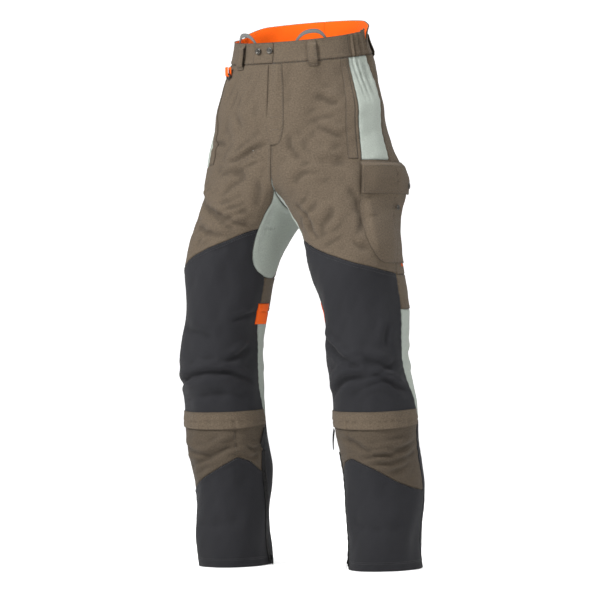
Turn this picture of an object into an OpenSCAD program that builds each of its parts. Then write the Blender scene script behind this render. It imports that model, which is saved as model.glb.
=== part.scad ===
// Protective work trousers with cut-resistant inserts, stretch panels, padded
// articulated knees, a cargo pocket and zipped leg ends.
// Millimetres. +Z up, the wearer's front towards -Y, the wearer's left towards +X.
// The origin is the centre of the waist opening at the front waistband's top edge.
//
// A point of the cloth is named by an angle around the leg or torso and a height
// above the hem: 0 degrees is the front, 90 the outer side, 180 the back and
// -90 the inner side of a leg.

/* [Overall] */
// Height of the front waistband's top edge above the hem
waist_h = 1004; // [980:2:1210]
// Height of the crotch point above the hem
crotch_h = 684; // [660:2:720]
// Height of the knee's bending axis above the hem
knee_h = 421; // [400:1:450]
// How far the back of the waist rises above its front
back_rise = 40; // [10:1:60]

/* [Girth] */
// Width of the waist opening
waist_w = 262; // [230:2:330]
// Depth of the waist opening, front to back
waist_d = 208; // [180:2:260]
// Width across the hips
hip_w = 350; // [310:2:420]
// Depth across the hips
hip_d = 242; // [210:2:300]
// Width of one thigh at the crotch
thigh_w = 200; // [180:2:240]
// Depth of one thigh at the crotch
thigh_d = 236; // [210:2:290]
// Width of one leg at the knee
knee_w = 150; // [130:1:180]
// Depth of one leg at the knee
knee_d = 172; // [150:1:210]
// Width of one leg at the hem
hem_w = 134; // [110:1:170]
// Depth of one leg at the hem
hem_d = 152; // [130:1:190]

/* [Stance] */
// Distance of each knee's centre from the middle
knee_x = 160; // [150:1:185]
// Distance of each hem's centre from the middle
hem_x = 166; // [155:1:190]
// How far the pre-bent knee stands in front of the waist's centre
knee_forward = 45; // [10:1:60]
// Turn of both leg ends about their own axes
leg_turn = 24; // [0:1:30]

/* [Cloth] */
// Thickness of the outer cloth panels
cloth_t = 2; // [1:0.1:2.4]
// Thickness of the inner lining
lining_t = 1.2; // [0.8:0.1:1.6]
// Thickness of the cut-resistant insert
insert_t = 1; // [0.6:0.1:1.2]
// Thickness of webbing, flaps and facings that lie on the panels
tape_t = 1.5; // [0.8:0.1:2.2]
// Space between two pieces that lie on each other
layer_gap = 0.8; // [0.6:0.1:1.2]
// Half of the seam gap between neighbouring panels
seam_half = 0.3; // [0.2:0.05:0.5]

/* [Waistband] */
// Height of the waistband
band_h = 40; // [30:1:55]
// Width of a belt loop
loop_w = 18; // [10:1:28]
// Stand-off of a belt loop at its middle, behind which a belt passes
loop_gap = 6; // [4.5:0.5:10]
// How far a belt loop's foot reaches below the waistband
loop_foot = 10; // [4:1:16]
// Width of a brace loop's arch
brace_w = 62; // [40:1:90]
// Rise of a brace loop above the waistband
brace_rise = 17; // [12:1:30]
// Radius of a press stud
stud_r = 6.2; // [4:0.1:7]
// Distance between the two waist press studs
stud_pitch = 25; // [16:1:34]
// Width of the elastic gathered section in each side, in degrees of the waist
elastic_span = 31; // [15:1:40]

/* [Fly and pockets] */
// Length of the fly opening
fly_len = 130; // [100:1:160]
// Width of the fly facing from the middle to its curved seam
fly_w = 24; // [18:1:34]
// Half width of the gap that the fly zip's slider runs in
fly_channel = 8; // [7:0.5:11]
// Length of the side hand-pocket opening
pocket_len = 188; // [150:1:195]
// Height of the cargo pocket's pouch
cargo_h = 180; // [140:1:190]
// Depth of the cargo pocket's pouch
cargo_d = 8; // [6:0.5:20]
// Height of the cargo pocket's flap
flap_h = 62; // [45:1:80]

/* [Legs] */
// Height of the knee panel's top edge above the thigh seam at the inner side
knee_rise = 81; // [60:1:95]
// Difference between the two knee panels' top edges
knee_shift = 12; // [0:1:14]
// Height of the storm band below the knee
knee_band_h = 34; // [24:1:44]
// Height of the leg-end panel's peak above the hem
peak_h = 214; // [190:1:230]
// Height of the leg-end panel at the outer seam
outer_h = 148; // [110:1:180]
// Length of the leg zip
zip_len = 218; // [160:1:226]
// Width of a zip tape
zip_w = 10; // [7:0.5:14]
// Thickness of the knee pad
pad_t = 10; // [6:1:16]
// Height of the knee pad
pad_h = 170; // [120:1:190]
// Length of the webbing pull tab
tab_len = 40; // [28:1:44]
// Width of the webbing pull tab
tab_w = 11; // [8:0.5:16]

/* [Small fittings] */
// Radius of the D-ring's bend
ring_r = 11; // [7:0.5:13]
// Wire radius of the D-ring
ring_wire = 1.5; // [1:0.1:1.8]
// Length of a zip slider
slider_l = 12; // [9:0.5:15]
// Width of a zip slider
slider_w = 8; // [6:0.5:10]
// Thickness of a zip slider
slider_t = 1.6; // [1.2:0.1:1.8]

/* [Hidden] */

brown = [0.42, 0.37, 0.31];
charcoal = [0.2, 0.2, 0.21];
stretch_grey = [0.65, 0.68, 0.65];
orange = [0.97, 0.41, 0.03];
dark = [0.15, 0.15, 0.15];
steel = [0.55, 0.55, 0.56];

// Heights of the seams, all measured from the hem
seam_h = waist_h - band_h;
rise = waist_h - crotch_h;
pocket_h = seam_h - pocket_len;
fly_h = seam_h - fly_len;
gusset_h = crotch_h + 60;
thigh_h = knee_h + 138;
shin_h = knee_h - 137;

// Layers, as distances outward from the cloth's outer face
overlay = layer_gap;
bag_out = -cloth_t - layer_gap;  // pocket bags and the waist lining
insert_out = bag_out - 1;
lining_out = insert_out - insert_t - layer_gap - 2;

// Cross-sections: height, centre x, half width, half depth, centre y
roundness = 2.15;
STATIONS = [
    [0, hem_x, hem_w / 2, hem_d / 2, 1],
    [134, hem_x + 1, hem_w / 2 + 3, hem_d / 2 + 5, -8],
    [shin_h, (hem_x + knee_x) / 2 + 2, knee_w / 2 - 1, knee_d / 2 - 1, -26],
    [knee_h, knee_x, knee_w / 2, knee_d / 2, -knee_forward],
    [thigh_h, knee_x - 20, (knee_w + thigh_w) / 4 - 7.5, (knee_d + thigh_d) / 4 - 2, -41],
    [crotch_h - 50, thigh_w / 2 + 22, thigh_w / 2 - 12, thigh_d / 2 - 9, -27],
    [crotch_h, thigh_w / 2, thigh_w / 2, thigh_d / 2, -14],
    [crotch_h + 25, hip_w / 4 - 3, (hip_w + 2 * thigh_w) / 6 - 10, hip_d / 2 + 3, -6],
    [gusset_h, 52, hip_w / 2 - 26, hip_d / 2 + 6, -2],
    [crotch_h + 120, 12, hip_w / 2, hip_d / 2, 0],
    [crotch_h + 180, 0, hip_w / 2 - 3, hip_d / 2 - 3, 0],
    [seam_h - 48, 0, (hip_w + waist_w) / 4 + 4, (hip_d + waist_d) / 4 - 0.5, 0],
    [seam_h, 0, waist_w / 2 + 9, waist_d / 2 + 4, 0],
    [waist_h, 0, waist_w / 2, waist_d / 2, 0],
    [waist_h + 50, 0, waist_w / 2 + 7, waist_d / 2 + 5, 3]];

// Heights at which the large panels have their rows of points, lowest first
function sorted(list) = len(list) < 2 ? list
    : let (mid = list[0]) concat(sorted([for (v = list) if (v < mid) v]), mid,
                                 sorted([for (v = list) if (v > mid) v]));
GRID_H = sorted([67, 134, 209, shin_h, shin_h + 46, shin_h + 92, knee_h, knee_h + 46,
    knee_h + 92, thigh_h, thigh_h + 15, crotch_h - 96, crotch_h - 84, crotch_h - 67,
    crotch_h - 50, crotch_h - 24, crotch_h,
    crotch_h + 13, crotch_h + 25, crotch_h + 43, gusset_h, pocket_h - 4, pocket_h,
    crotch_h + 120, fly_h, crotch_h + 180, crotch_h + 206, seam_h - 48, seam_h - 24]);

// ---------- the cloth surface ----------

function clip(v, lo, hi) = min(max(v, lo), hi);
function mix(a, b, t) = a + (b - a) * t;
function spow(v, e) = sign(v) * pow(abs(v), e);

// Slope at each station for one column: flat at a turning point, else harmonic
function rate(i, k) = (STATIONS[i + 1][k] - STATIONS[i][k])
    / (STATIONS[i + 1][0] - STATIONS[i][0]);
function knot_slope(i, k) =
    i == 0 ? rate(0, k)
    : i == len(STATIONS) - 1 ? rate(i - 1, k)
    : let (a = rate(i - 1, k), b = rate(i, k)) a * b <= 0 ? 0 : 2 * a * b / (a + b);
SLOPES = [for (i = [0 : len(STATIONS) - 1]) [0, for (k = [1 : 4]) knot_slope(i, k)]];

function span_of(h, i = 0) =
    i >= len(STATIONS) - 2 || h < STATIONS[i + 1][0] ? i : span_of(h, i + 1);

// [centre x, half width, half depth, centre y] at a height
function section(h) =
    let (hc = clip(h, 0, waist_h + 50), i = span_of(hc),
         a = STATIONS[i], b = STATIONS[i + 1], len_h = b[0] - a[0],
         t = (hc - a[0]) / len_h, t2 = t * t, t3 = t2 * t)
    [for (k = [1 : 4])
        (2 * t3 - 3 * t2 + 1) * a[k] + (t3 - 2 * t2 + t) * len_h * SLOPES[i][k]
        + (3 * t2 - 2 * t3) * b[k] + (t3 - t2) * len_h * SLOPES[i + 1][k]];

function turned(side, th, h) = th + side * leg_turn * clip((crotch_h - h) / crotch_h, 0, 1);

// Outward direction in plan
function outward(side, th, h) =
    let (s = section(h), a = turned(side, th, h), e = 2 * (roundness - 1) / roundness,
         nx = spow(sin(a), e) / s[1], ny = -spow(cos(a), e) / s[2], n = norm([nx, ny]))
    [side * nx / n, ny / n];

// A point of the cloth, off millimetres outside its outer face
function cloth(side, th, h, off = 0, split = true) =
    let (s = section(h), a = turned(side, th, h), e = 2 / roundness,
         n = outward(side, th, h),
         x = s[0] + s[1] * spow(sin(a), e) + side * off * n[0],
         y = s[3] - s[2] * spow(cos(a), e) + off * n[1],
         lift = back_rise * clip((y / 110 + 1) / 2, 0, 1)
              * pow(clip((h - crotch_h - 120) / (rise - 120), 0, 1), 1.5))
    [side * (split ? max(x, seam_half) : x), y, h - waist_h + lift];

// Angle at which the cloth reaches the middle plane above the crotch
function middle_angle(h) =
    let (s = section(h)) s[0] >= s[1] ? 90 : asin(pow(max(s[0], 0) / s[1], roundness / 2));

// Height at which the middle seam passes an angle
function middle_height(angle, lo = crotch_h, hi = crotch_h + 180, n = 14) =
    n == 0 ? (lo + hi) / 2
    : let (m = (lo + hi) / 2)
      middle_angle(m) > angle ? middle_height(angle, m, hi, n - 1)
                              : middle_height(angle, lo, m, n - 1);

// The hip's bending zone runs down and outward from the crotch, like a brief's edge
hip_slope = tan(55);
function hip_line(side, th, base, lo = thigh_h - 20, hi = seam_h, n = 14) =
    n == 0 ? (lo + hi) / 2
    : let (m = (lo + hi) / 2, x = abs(cloth(side, th, m)[0]))
      m < base + hip_slope * x ? hip_line(side, th, base, m, hi, n - 1)
                               : hip_line(side, th, base, lo, m, n - 1);

// ---------- seam lines ----------

// Front edge of the gusset, angle by height
gusset_edge = [[thigh_h + 1, -78.5], [crotch_h - 96, -58.5], [crotch_h - 44, -49.5],
    [crotch_h + 12, -44.5], [gusset_h, -middle_angle(gusset_h)]];
// Inner seam of the lower leg, angle by height
inner_edge = [[0, -79], [226, -75], [shin_h, -87], [knee_h, -86], [thigh_h, -78.5]];

function inner_seam(h) =
    h >= gusset_h ? -middle_angle(h)
    : h > thigh_h ? lookup(h, gusset_edge) : lookup(h, inner_edge);
function outer_seam(h) = 88 - 9 * exp(-pow((h - knee_h) / 90, 2));
function back_middle(h) = h > thigh_h ? 180 - inner_seam(h) : 360 + inner_seam(h);

// Front and back edges of the side stretch panel
function side_front(h) = mix(56.5, 69.5, (h - pocket_h) / pocket_len);
function side_back(h) = mix(85.5, 98, (h - pocket_h) / pocket_len);

function fly_angle(h) = asin(pow(fly_channel / section(h)[1], roundness / 2));
function front_inner(h) = h >= fly_h - 1 ? fly_angle(h) : inner_seam(h);
function front_outer(h) = h >= pocket_h - 1 ? side_front(h) : outer_seam(h);
function seat_outer(h) = h >= pocket_h - 1 ? side_back(h) : outer_seam(h);

// Top edge of the knee panel and of the leg-end panel, height by angle
function knee_top(side, th) = thigh_h - side * knee_shift * clip((88 - th) / 60, 0, 1)
    + lookup(th, [[-50, knee_rise], [-37, knee_rise - 6], [-13, knee_rise - 24],
                  [10, knee_rise - 38], [34, knee_rise - 51], [60, knee_rise - 66],
                  [88, 1]]);
function leg_top(th) = lookup(th, [[-87, peak_h - 42], [-72, peak_h - 30],
    [-50, peak_h - 9], [-29, peak_h], [0, peak_h - 19], [35, peak_h - 44],
    [70, outer_h + 5], [88, outer_h]]);

// ---------- builders ----------

// A sheet of cloth between two edges given as angle by height (left, right) and two
// given as height by angle (bottom, top). proud(u, v) is how far its outer face
// stands out; u runs from left to right and v from bottom to top.
function settle(left, right, edge, u, h, n = 5) =
    let (th = mix(left(h), right(h), u)) n == 0 ? [th, h]
    : settle(left, right, edge, u, edge(th), n - 1);

module sheet(side, left, right, bottom, top, proud = function(u, v) 0, thick = cloth_t,
             cols = 8, rows = 0, fill_low = 0, fill_high = 0, us = undef, split = true) {
    u_list = is_undef(us) ? [for (i = [0 : cols]) i / cols] : us;
    mid_h = (bottom(0) + top(0)) / 2;
    low = [for (u = u_list) settle(left, right, bottom, u, mid_h)];
    high = [for (u = u_list) settle(left, right, top, u, mid_h)];
    lo = max([for (p = low) p[1]]);
    hi = min([for (p = high) p[1]]);
    heights = rows > 0 ? [] : [for (h = GRID_H) if (h > lo + 6 && h < hi - 6) h];
    // the rows of one column: evenly spaced, or at the shared heights with a few more
    // between them and the panel's own edges
    column = function(a, b) len(heights) == 0
        ? [for (j = [0 : rows]) mix(a, b, j / rows)]
        : concat([for (j = [0 : fill_low]) mix(a, heights[0], j / (fill_low + 1))],
                 heights,
                 [for (j = [1 : fill_high + 1])
                     mix(heights[len(heights) - 1], b, j / (fill_high + 1))]);
    columns = [for (i = [0 : len(u_list) - 1]) column(low[i][1], high[i][1])];
    nr = len(columns[0]) - 1;
    nc = len(u_list) - 1;
    // each place is [angle, height, u, v]
    places = [for (j = [0 : nr]) for (i = [0 : nc])
        let (u = u_list[i], h = columns[i][j],
             th = j == 0 ? low[i][0] : j == nr ? high[i][0] : mix(left(h), right(h), u))
        [th, h, u, (h - low[i][1]) / (high[i][1] - low[i][1])]];
    n = len(places);
    outer = [for (p = places) cloth(side, p[0], p[1], proud(p[2], p[3]), split)];
    inner = [for (p = places) cloth(side, p[0], p[1], proud(p[2], p[3]) - thick, split)];
    at = function(i, j) j * (nc + 1) + i;
    quads = [
        for (j = [0 : nr - 1]) for (i = [0 : nc - 1]) each [
            [at(i, j), at(i, j + 1), at(i + 1, j + 1), at(i + 1, j)],
            [n + at(i, j), n + at(i + 1, j), n + at(i + 1, j + 1), n + at(i, j + 1)]],
        for (i = [0 : nc - 1]) each [
            [at(i, 0), at(i + 1, 0), n + at(i + 1, 0), n + at(i, 0)],
            [at(i, nr), n + at(i, nr), n + at(i + 1, nr), at(i + 1, nr)]],
        for (j = [0 : nr - 1]) each [
            [at(0, j), n + at(0, j), n + at(0, j + 1), at(0, j + 1)],
            [at(nc, j), at(nc, j + 1), n + at(nc, j + 1), n + at(nc, j)]]];
    tris = [for (q = quads) each [[q[0], q[1], q[2]], [q[0], q[2], q[3]]]];
    polyhedron(points = concat(outer, inner),
               faces = side > 0 ? tris : [for (t = tris) [t[2], t[1], t[0]]]);
}

// Angle that a seam gap takes at the cloth, and edges moved by it
seam_deg = seam_half * 0.6;
function from_left(edge) = function(h) edge(h) + seam_deg;
function from_right(edge) = function(h) edge(h) - seam_deg;
function above(edge) = function(th) edge(th) + seam_half;
function below(edge) = function(th) edge(th) - seam_half;
function level(v) = function(x) v;

// Puts children on the cloth: their -Y points outward, +X along growing angles
module on_cloth(side, th, h, off) {
    n = outward(side, th, h);
    translate(cloth(side, th, h, off)) rotate([0, 0, atan2(n[0], -n[1])])
        if (side > 0) children(); else mirror([1, 0, 0]) children();
}

// A round cap and its neck, pointing outward
module stud_cap(r, t) {
    rotate([90, 0, 0]) {
        cylinder(r = r, h = t * 0.6, $fn = 48);
        translate([0, 0, t * 0.55]) cylinder(r1 = r * 0.92, r2 = r * 0.7, h = t * 0.45, $fn = 48);
    }
}

// ---------- waist ----------

elastic_from = 71;

module waistband_front(side) color(brown)
    sheet(side, from_left(level(0)), from_right(level(elastic_from)),
          above(level(seam_h)), level(waist_h), cols = 6, rows = 2);

module waist_elastic(side) color(brown)
    sheet(side, from_left(level(elastic_from)), from_right(level(elastic_from + elastic_span)),
          above(level(seam_h)), level(waist_h),
          proud = function(u, v) 0.9 - 0.9 * cos(360 * 4 * u), cols = 16, rows = 2);

module waistband_back() color(brown) for (side = [1, -1])
    sheet(side, from_left(level(elastic_from + elastic_span)), level(180),
          above(level(seam_h)), level(waist_h), cols = 6, rows = 2);

module waistband_lining() color(orange) for (side = [1, -1])
    sheet(side, level(6), level(180), above(level(seam_h)), level(waist_h - 1),
          proud = function(u, v) bag_out, thick = insert_t, cols = 14, rows = 2);

module press_studs() color(steel) for (k = [0, 1])
    on_cloth(-1, 2 + k * stud_pitch * 0.42, seam_h + band_h * 0.62, overlay)
        stud_cap(stud_r, 3);

function loop_angles() = [33, 128];
module belt_loop(side, th) {
    half = loop_w / 2 * 0.44;
    sheet(side, level(th - half), level(th + half), level(seam_h - loop_foot),
          level(waist_h - 1), proud = function(u, v)
              overlay + tape_t + loop_gap * clip(3.2 * sin(180 * v) - 0.75, 0, 1),
          thick = tape_t, cols = 2, rows = 10, split = false);
}
module belt_loops() color(brown) {
    for (side = [1, -1]) for (th = loop_angles()) belt_loop(side, th);
    belt_loop(1, 180);
}

module brace_loops() color(stretch_grey) for (side = [1, -1]) {
    half = brace_w / 2 * 0.44;
    arch = function(th) waist_h + brace_rise - (brace_rise + 14) * pow(abs(th - 33) / half, 2.6);
    sheet(side, level(33 - half), level(33 + half), function(th) arch(th) - 10, arch,
          proud = function(u, v) bag_out - insert_t - layer_gap, thick = 1.2,
          us = [0, 0.05, 0.12, 0.22, 0.36, 0.5, 0.64, 0.78, 0.88, 0.95, 1], rows = 1);
}

// The ring hangs from a webbing loop on the wearer's right hip
ring_th = 47;
ring_hole_h = seam_h - 16;
ring_off = 7;
ring_eye = ring_wire + 1.1;
ring_strap = 13;
module ring_loop() color(orange) on_cloth(-1, ring_th, ring_hole_h, ring_off)
    rotate([90, 0, 90]) translate([0, 0, -6]) linear_extrude(height = 12)
        difference() {
            union() {
                circle(r = ring_eye + tape_t, $fn = 40);
                square([ring_eye + tape_t, ring_strap]);
            }
            circle(r = ring_eye, $fn = 40);
        }
module d_ring() color(dark) on_cloth(-1, ring_th, ring_hole_h, ring_off) {
    rotate([0, 90, 0]) translate([0, 0, -ring_r])
        cylinder(r = ring_wire, h = 2 * ring_r, $fn = 32);
    rotate([90, 0, 0]) rotate([0, 0, 180]) rotate_extrude(angle = 180, $fn = 64)
        translate([ring_r, 0]) circle(r = ring_wire, $fn = 32);
}

module hip_lining() color(stretch_grey) for (side = [1, -1])
    sheet(side, function(h) -middle_angle(h), function(h) 180 + middle_angle(h),
          function(th) hip_line(side, th, crotch_h + 12), below(level(seam_h - 3)),
          proud = function(u, v) lining_out, thick = lining_t, cols = 22, rows = 5);

// ---------- fly ----------

module fly_placket() color(brown) {
    wide = asin(fly_w / section(fly_h)[1]);
    sheet(1, level(-3.2), function(h) wide * clip(0.25 + (h - fly_h + 24) / 40, 0, 1),
          level(fly_h - 24), level(seam_h - 1), proud = function(u, v) overlay + cloth_t * 0.6,
          thick = cloth_t * 0.6, cols = 3, rows = 9, split = false);
}
module fly_zip_tape() color(dark)
    sheet(1, level(-fly_tape), level(fly_tape), level(fly_h + 2), level(seam_h - 4),
          proud = function(u, v) bag_out - 0.6, thick = 0.7, cols = 2, rows = 5,
          split = false);
fly_tape = 5;
// The slider's run: its top place, and the line that it follows downward
fly_top = cloth(1, 0, seam_h - 12, -1.2, false);
fly_low = cloth(1, 0, fly_h + 14, -1.2, false);
module fly_zip_slider() color(dark)
    translate([0, fly_top[1], fly_top[2]]) rotate([atan2(fly_low[1] - fly_top[1],
        fly_top[2] - fly_low[2]), 0, 0])
        translate([-slider_w / 2, -slider_t / 2, -slider_l / 2])
            cube([slider_w, slider_t, slider_l]);

module hand_pocket_bags() color(stretch_grey) for (side = [1, -1])
    sheet(side, function(h) side_front(h) - 46, function(h) side_front(h) - 2,
          function(th) pocket_h + 14, level(seam_h - 6),
          proud = function(u, v) bag_out, thick = insert_t * 0.8, cols = 5);

// ---------- torso and thigh panels ----------

module front_panel(side) color(brown)
    sheet(side, from_left(function(h) front_inner(h)), from_right(function(h) front_outer(h)),
          above(function(th) knee_top(side, th)), below(level(seam_h)), cols = 11,
          fill_low = 2);

module side_stretch(side) color(stretch_grey)
    sheet(side, from_left(function(h) side_front(h)), from_right(function(h) side_back(h)),
          above(level(pocket_h)), below(level(seam_h)), cols = 3);

module seat_panel(side) color(brown)
    sheet(side, from_left(function(h) seat_outer(h)), from_right(function(h) back_middle(h)),
          above(level(thigh_h + 1)), below(level(seam_h)), cols = 11);

// Inner-thigh gusset: its lower edge is a shield, its upper edge lies just under
// the crotch seam
function gusset_low(th) = let (a = abs(th + 90))
    lookup(a, [[0, thigh_h - 1], [11.5, thigh_h + 1], [31.5, crotch_h - 96],
        [40.5, crotch_h - 44], [45.5, crotch_h + 12],
        [90 - middle_angle(gusset_h), gusset_h - 4]]);
// How far its edges stand back from the panels around it, in degrees around the leg
gusset_inset = 2.4;
module gusset(side) color(stretch_grey) {
    reach = 74 - middle_angle(gusset_h);
    steps = [-reach, -49, -43.5, -38.5, -34, -29.5, -20, -10, 0,
             10, 20, 29.5, 34, 38.5, 43.5, 49, reach];
    sheet(side, level(-90 - reach), level(-90 + reach),
          above(function(th) gusset_low(th + sign(th + 90) * gusset_inset) + 0.8),
          function(th) middle_height(90 - abs(th + 90)) - 1,
          us = [for (s = steps) (s / reach + 1) / 2], rows = 4);
}

module pocket_welt(side) color(brown)
    sheet(side, function(h) side_front(h) - 11, function(h) side_front(h) - 4,
          level(pocket_h + 2), level(seam_h - 2),
          proud = function(u, v) overlay + tape_t, thick = tape_t, cols = 1);

module thigh_lining(side) color(stretch_grey)
    sheet(side, level(-89.8), level(269.8), level(thigh_h - 14),
          function(th) hip_line(side, th, thigh_h - 4),
          proud = function(u, v) lining_out, thick = lining_t, cols = 28, rows = 9);

module cut_insert(side) color(orange)
    sheet(side, function(h) inner_seam(h) + 8, function(h) 74,
          level(22), level(gusset_h + 8),
          proud = function(u, v) insert_out, thick = insert_t, cols = 18);

// ---------- cargo pocket on the wearer's left thigh ----------

cargo_top = pocket_h - 16;
cargo_back = 118;
function cargo_front(h) = lookup(h, [[pocket_h - 150, 44.5], [pocket_h - 60, 50.5],
    [pocket_h, 56]]);
function cargo_low(th) = cargo_top - cargo_h
    + lookup(th, [[44, 58], [47, 34], [52, 17], [58, 6], [66, 0]]);
// The pouch stands out in its middle and closes onto the thigh at three edges
function pouch(u, v) = cargo_d * min(1, 7 * u, 7 * (1 - u)) * min(1, 6 * v + 0.02);
module cargo_pocket() color(brown)
    sheet(1, function(h) cargo_front(h), level(cargo_back),
          function(th) cargo_low(th), level(cargo_top),
          proud = function(u, v) overlay + tape_t + pouch(u, v), thick = tape_t,
          us = [0, 0.07, 0.145, 0.25, 0.4, 0.55, 0.7, 0.855, 0.93, 1], rows = 7);

flap_top = pocket_h - 3;
flap_proud = overlay + tape_t + cargo_d + 1.1 + tape_t;
module cargo_flap() color(brown)
    sheet(1, function(h) cargo_front(h) - 1, level(cargo_back + 3),
          level(flap_top - flap_h), level(flap_top),
          proud = function(u, v) flap_proud, thick = tape_t, cols = 8, rows = 3);

stud_th = 108;
stud_h = flap_top - flap_h + 17;
module flap_stud() color(steel) on_cloth(1, stud_th, stud_h, flap_proud + 0.5)
    stud_cap(stud_r, 2.6);
module pocket_stud() color(steel)
    on_cloth(1, 92, cargo_top - flap_h - 12, overlay + tape_t + cargo_d + 0.5)
        stud_cap(stud_r * 0.8, 1.4);

// ---------- knee ----------

module knee_panel(side) color(charcoal)
    sheet(side, from_left(function(h) inner_seam(h)), from_right(function(h) outer_seam(h)),
          above(level(shin_h)), below(function(th) knee_top(side, th)), cols = 16,
          fill_high = 5);

back_split_h = thigh_h - 66;
module thigh_back(side) color(brown)
    sheet(side, from_left(function(h) outer_seam(h)), from_right(function(h) back_middle(h)),
          above(level(back_split_h)), below(level(thigh_h)), cols = 14);

module knee_back(side) color(stretch_grey)
    sheet(side, from_left(function(h) outer_seam(h)), from_right(function(h) back_middle(h)),
          above(level(shin_h)), below(level(back_split_h)), cols = 14);

module inseam_tab(side) color(orange)
    sheet(side, level(-103), level(-76), level(back_split_h - 24), level(back_split_h + 16),
          proud = function(u, v) overlay + tape_t, thick = tape_t, cols = 4, rows = 2);

module knee_pad(side) color(dark)
    sheet(side, level(-48), level(46), level(knee_h - pad_h / 2), level(knee_h + pad_h / 2),
          proud = function(u, v) lining_out - (1 - min(1, 6 * u, 6 * (1 - u))) * 4,
          thick = pad_t, cols = 8);

// ---------- lower leg ----------

module knee_band(side) color(brown) {
    slant = function(th) 8 * pow(abs(th) / 88, 2);
    sheet(side, level(-86), level(87), function(th) shin_h - 16 + slant(th),
          function(th) shin_h - 16 + knee_band_h + slant(th) / 2,
          proud = function(u, v) overlay + tape_t, thick = tape_t, cols = 14, rows = 2);
}

module shin_upper(side) color(brown)
    sheet(side, from_left(function(h) inner_seam(h)), from_right(level(88)),
          above(function(th) leg_top(th)), below(level(shin_h)), cols = 12, rows = 3);

module leg_end(side) color(charcoal)
    sheet(side, from_left(function(h) inner_seam(h)), from_right(level(88)),
          level(0), below(function(th) leg_top(th)), cols = 12, rows = 4);

module calf_panel(side) color(charcoal)
    sheet(side, from_left(level(88)), from_right(function(h) 360 + inner_seam(h)),
          level(0), below(level(shin_h)), cols = 15);

module leg_zip(side) color(dark) {
    half = zip_w / 2 * 0.8;
    sheet(side, function(h) inner_seam(h) - half, function(h) inner_seam(h) + half,
          level(6), level(6 + zip_len), proud = function(u, v) overlay + 1.2,
          thick = 1.2, cols = 2, rows = 6);
}

// The slider starts at the hem and runs up the zip along a straight line
zip_off = 3.4;
function zip_place(side, h) = cloth(side, inner_seam(h), h, zip_off);
module leg_zip_slider(side) color(dark) {
    p = zip_place(side, 14);
    q = zip_place(side, zip_len - 6);
    n = outward(side, inner_seam(14), 14);
    run = q - p;
    translate(p) rotate([0, acos(run[2] / norm(run)), atan2(run[1], run[0])])
        rotate([0, 0, atan2(n[0], -n[1]) - atan2(run[1], run[0])])
            translate([-slider_w / 2, -slider_t / 2, -slider_l / 2])
                cube([slider_w, slider_t, slider_l]);
}

module pull_tab(side) color(dark)
    on_cloth(side, -80, shin_h - 17, overlay + tape_t + 3.4) rotate([0, -28, 0])
        translate([-tab_w / 2, -tape_t / 2, -tab_len]) cube([tab_w, tape_t, tab_len]);

waistband_front(1);  // waistband_front_left
waistband_front(-1);  // waistband_front_right
waistband_back();
waistband_lining();
waist_elastic(1);  // waist_elastic_left
waist_elastic(-1);  // waist_elastic_right
press_studs();
belt_loops();
brace_loops();
ring_loop();
d_ring();
hip_lining();
fly_placket();
fly_zip_tape();
fly_zip_slider();
hand_pocket_bags();
front_panel(1);  // front_panel_left
front_panel(-1);  // front_panel_right
side_stretch(1);  // side_stretch_left
side_stretch(-1);  // side_stretch_right
seat_panel(1);  // seat_panel_left
seat_panel(-1);  // seat_panel_right
gusset(1);  // gusset_left
gusset(-1);  // gusset_right
pocket_welt(1);  // pocket_welt_left
pocket_welt(-1);  // pocket_welt_right
thigh_lining(1);  // thigh_lining_left
thigh_lining(-1);  // thigh_lining_right
cut_insert(1);  // cut_insert_left
cut_insert(-1);  // cut_insert_right
cargo_pocket();
cargo_flap();
flap_stud();
pocket_stud();
knee_panel(1);  // knee_panel_left
knee_panel(-1);  // knee_panel_right
knee_back(1);  // knee_back_left
knee_back(-1);  // knee_back_right
thigh_back(1);  // thigh_back_left
thigh_back(-1);  // thigh_back_right
inseam_tab(1);  // inseam_tab_left
inseam_tab(-1);  // inseam_tab_right
knee_pad(1);  // knee_pad_left
knee_pad(-1);  // knee_pad_right
knee_band(1);  // knee_band_left
knee_band(-1);  // knee_band_right
shin_upper(1);  // shin_upper_left
shin_upper(-1);  // shin_upper_right
leg_end(1);  // leg_end_left
leg_end(-1);  // leg_end_right
calf_panel(1);  // calf_panel_left
calf_panel(-1);  // calf_panel_right
pull_tab(1);  // pull_tab_left
pull_tab(-1);  // pull_tab_right
leg_zip(1);  // leg_zip_left
leg_zip(-1);  // leg_zip_right
leg_zip_slider(1);  // leg_zip_slider_left
leg_zip_slider(-1);  // leg_zip_slider_right
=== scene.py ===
"""Looks of a pair of protective work trousers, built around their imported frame.

A place on the cloth is an angle around the leg or torso in degrees (0 front, 90
outer side, 180 back, -90 inner side) and a height above the hem in millimetres.
Everything that reaches Blender is in metres.
"""

import math

import bmesh
import bpy
import numpy as np
from mathutils import Matrix, Vector


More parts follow.
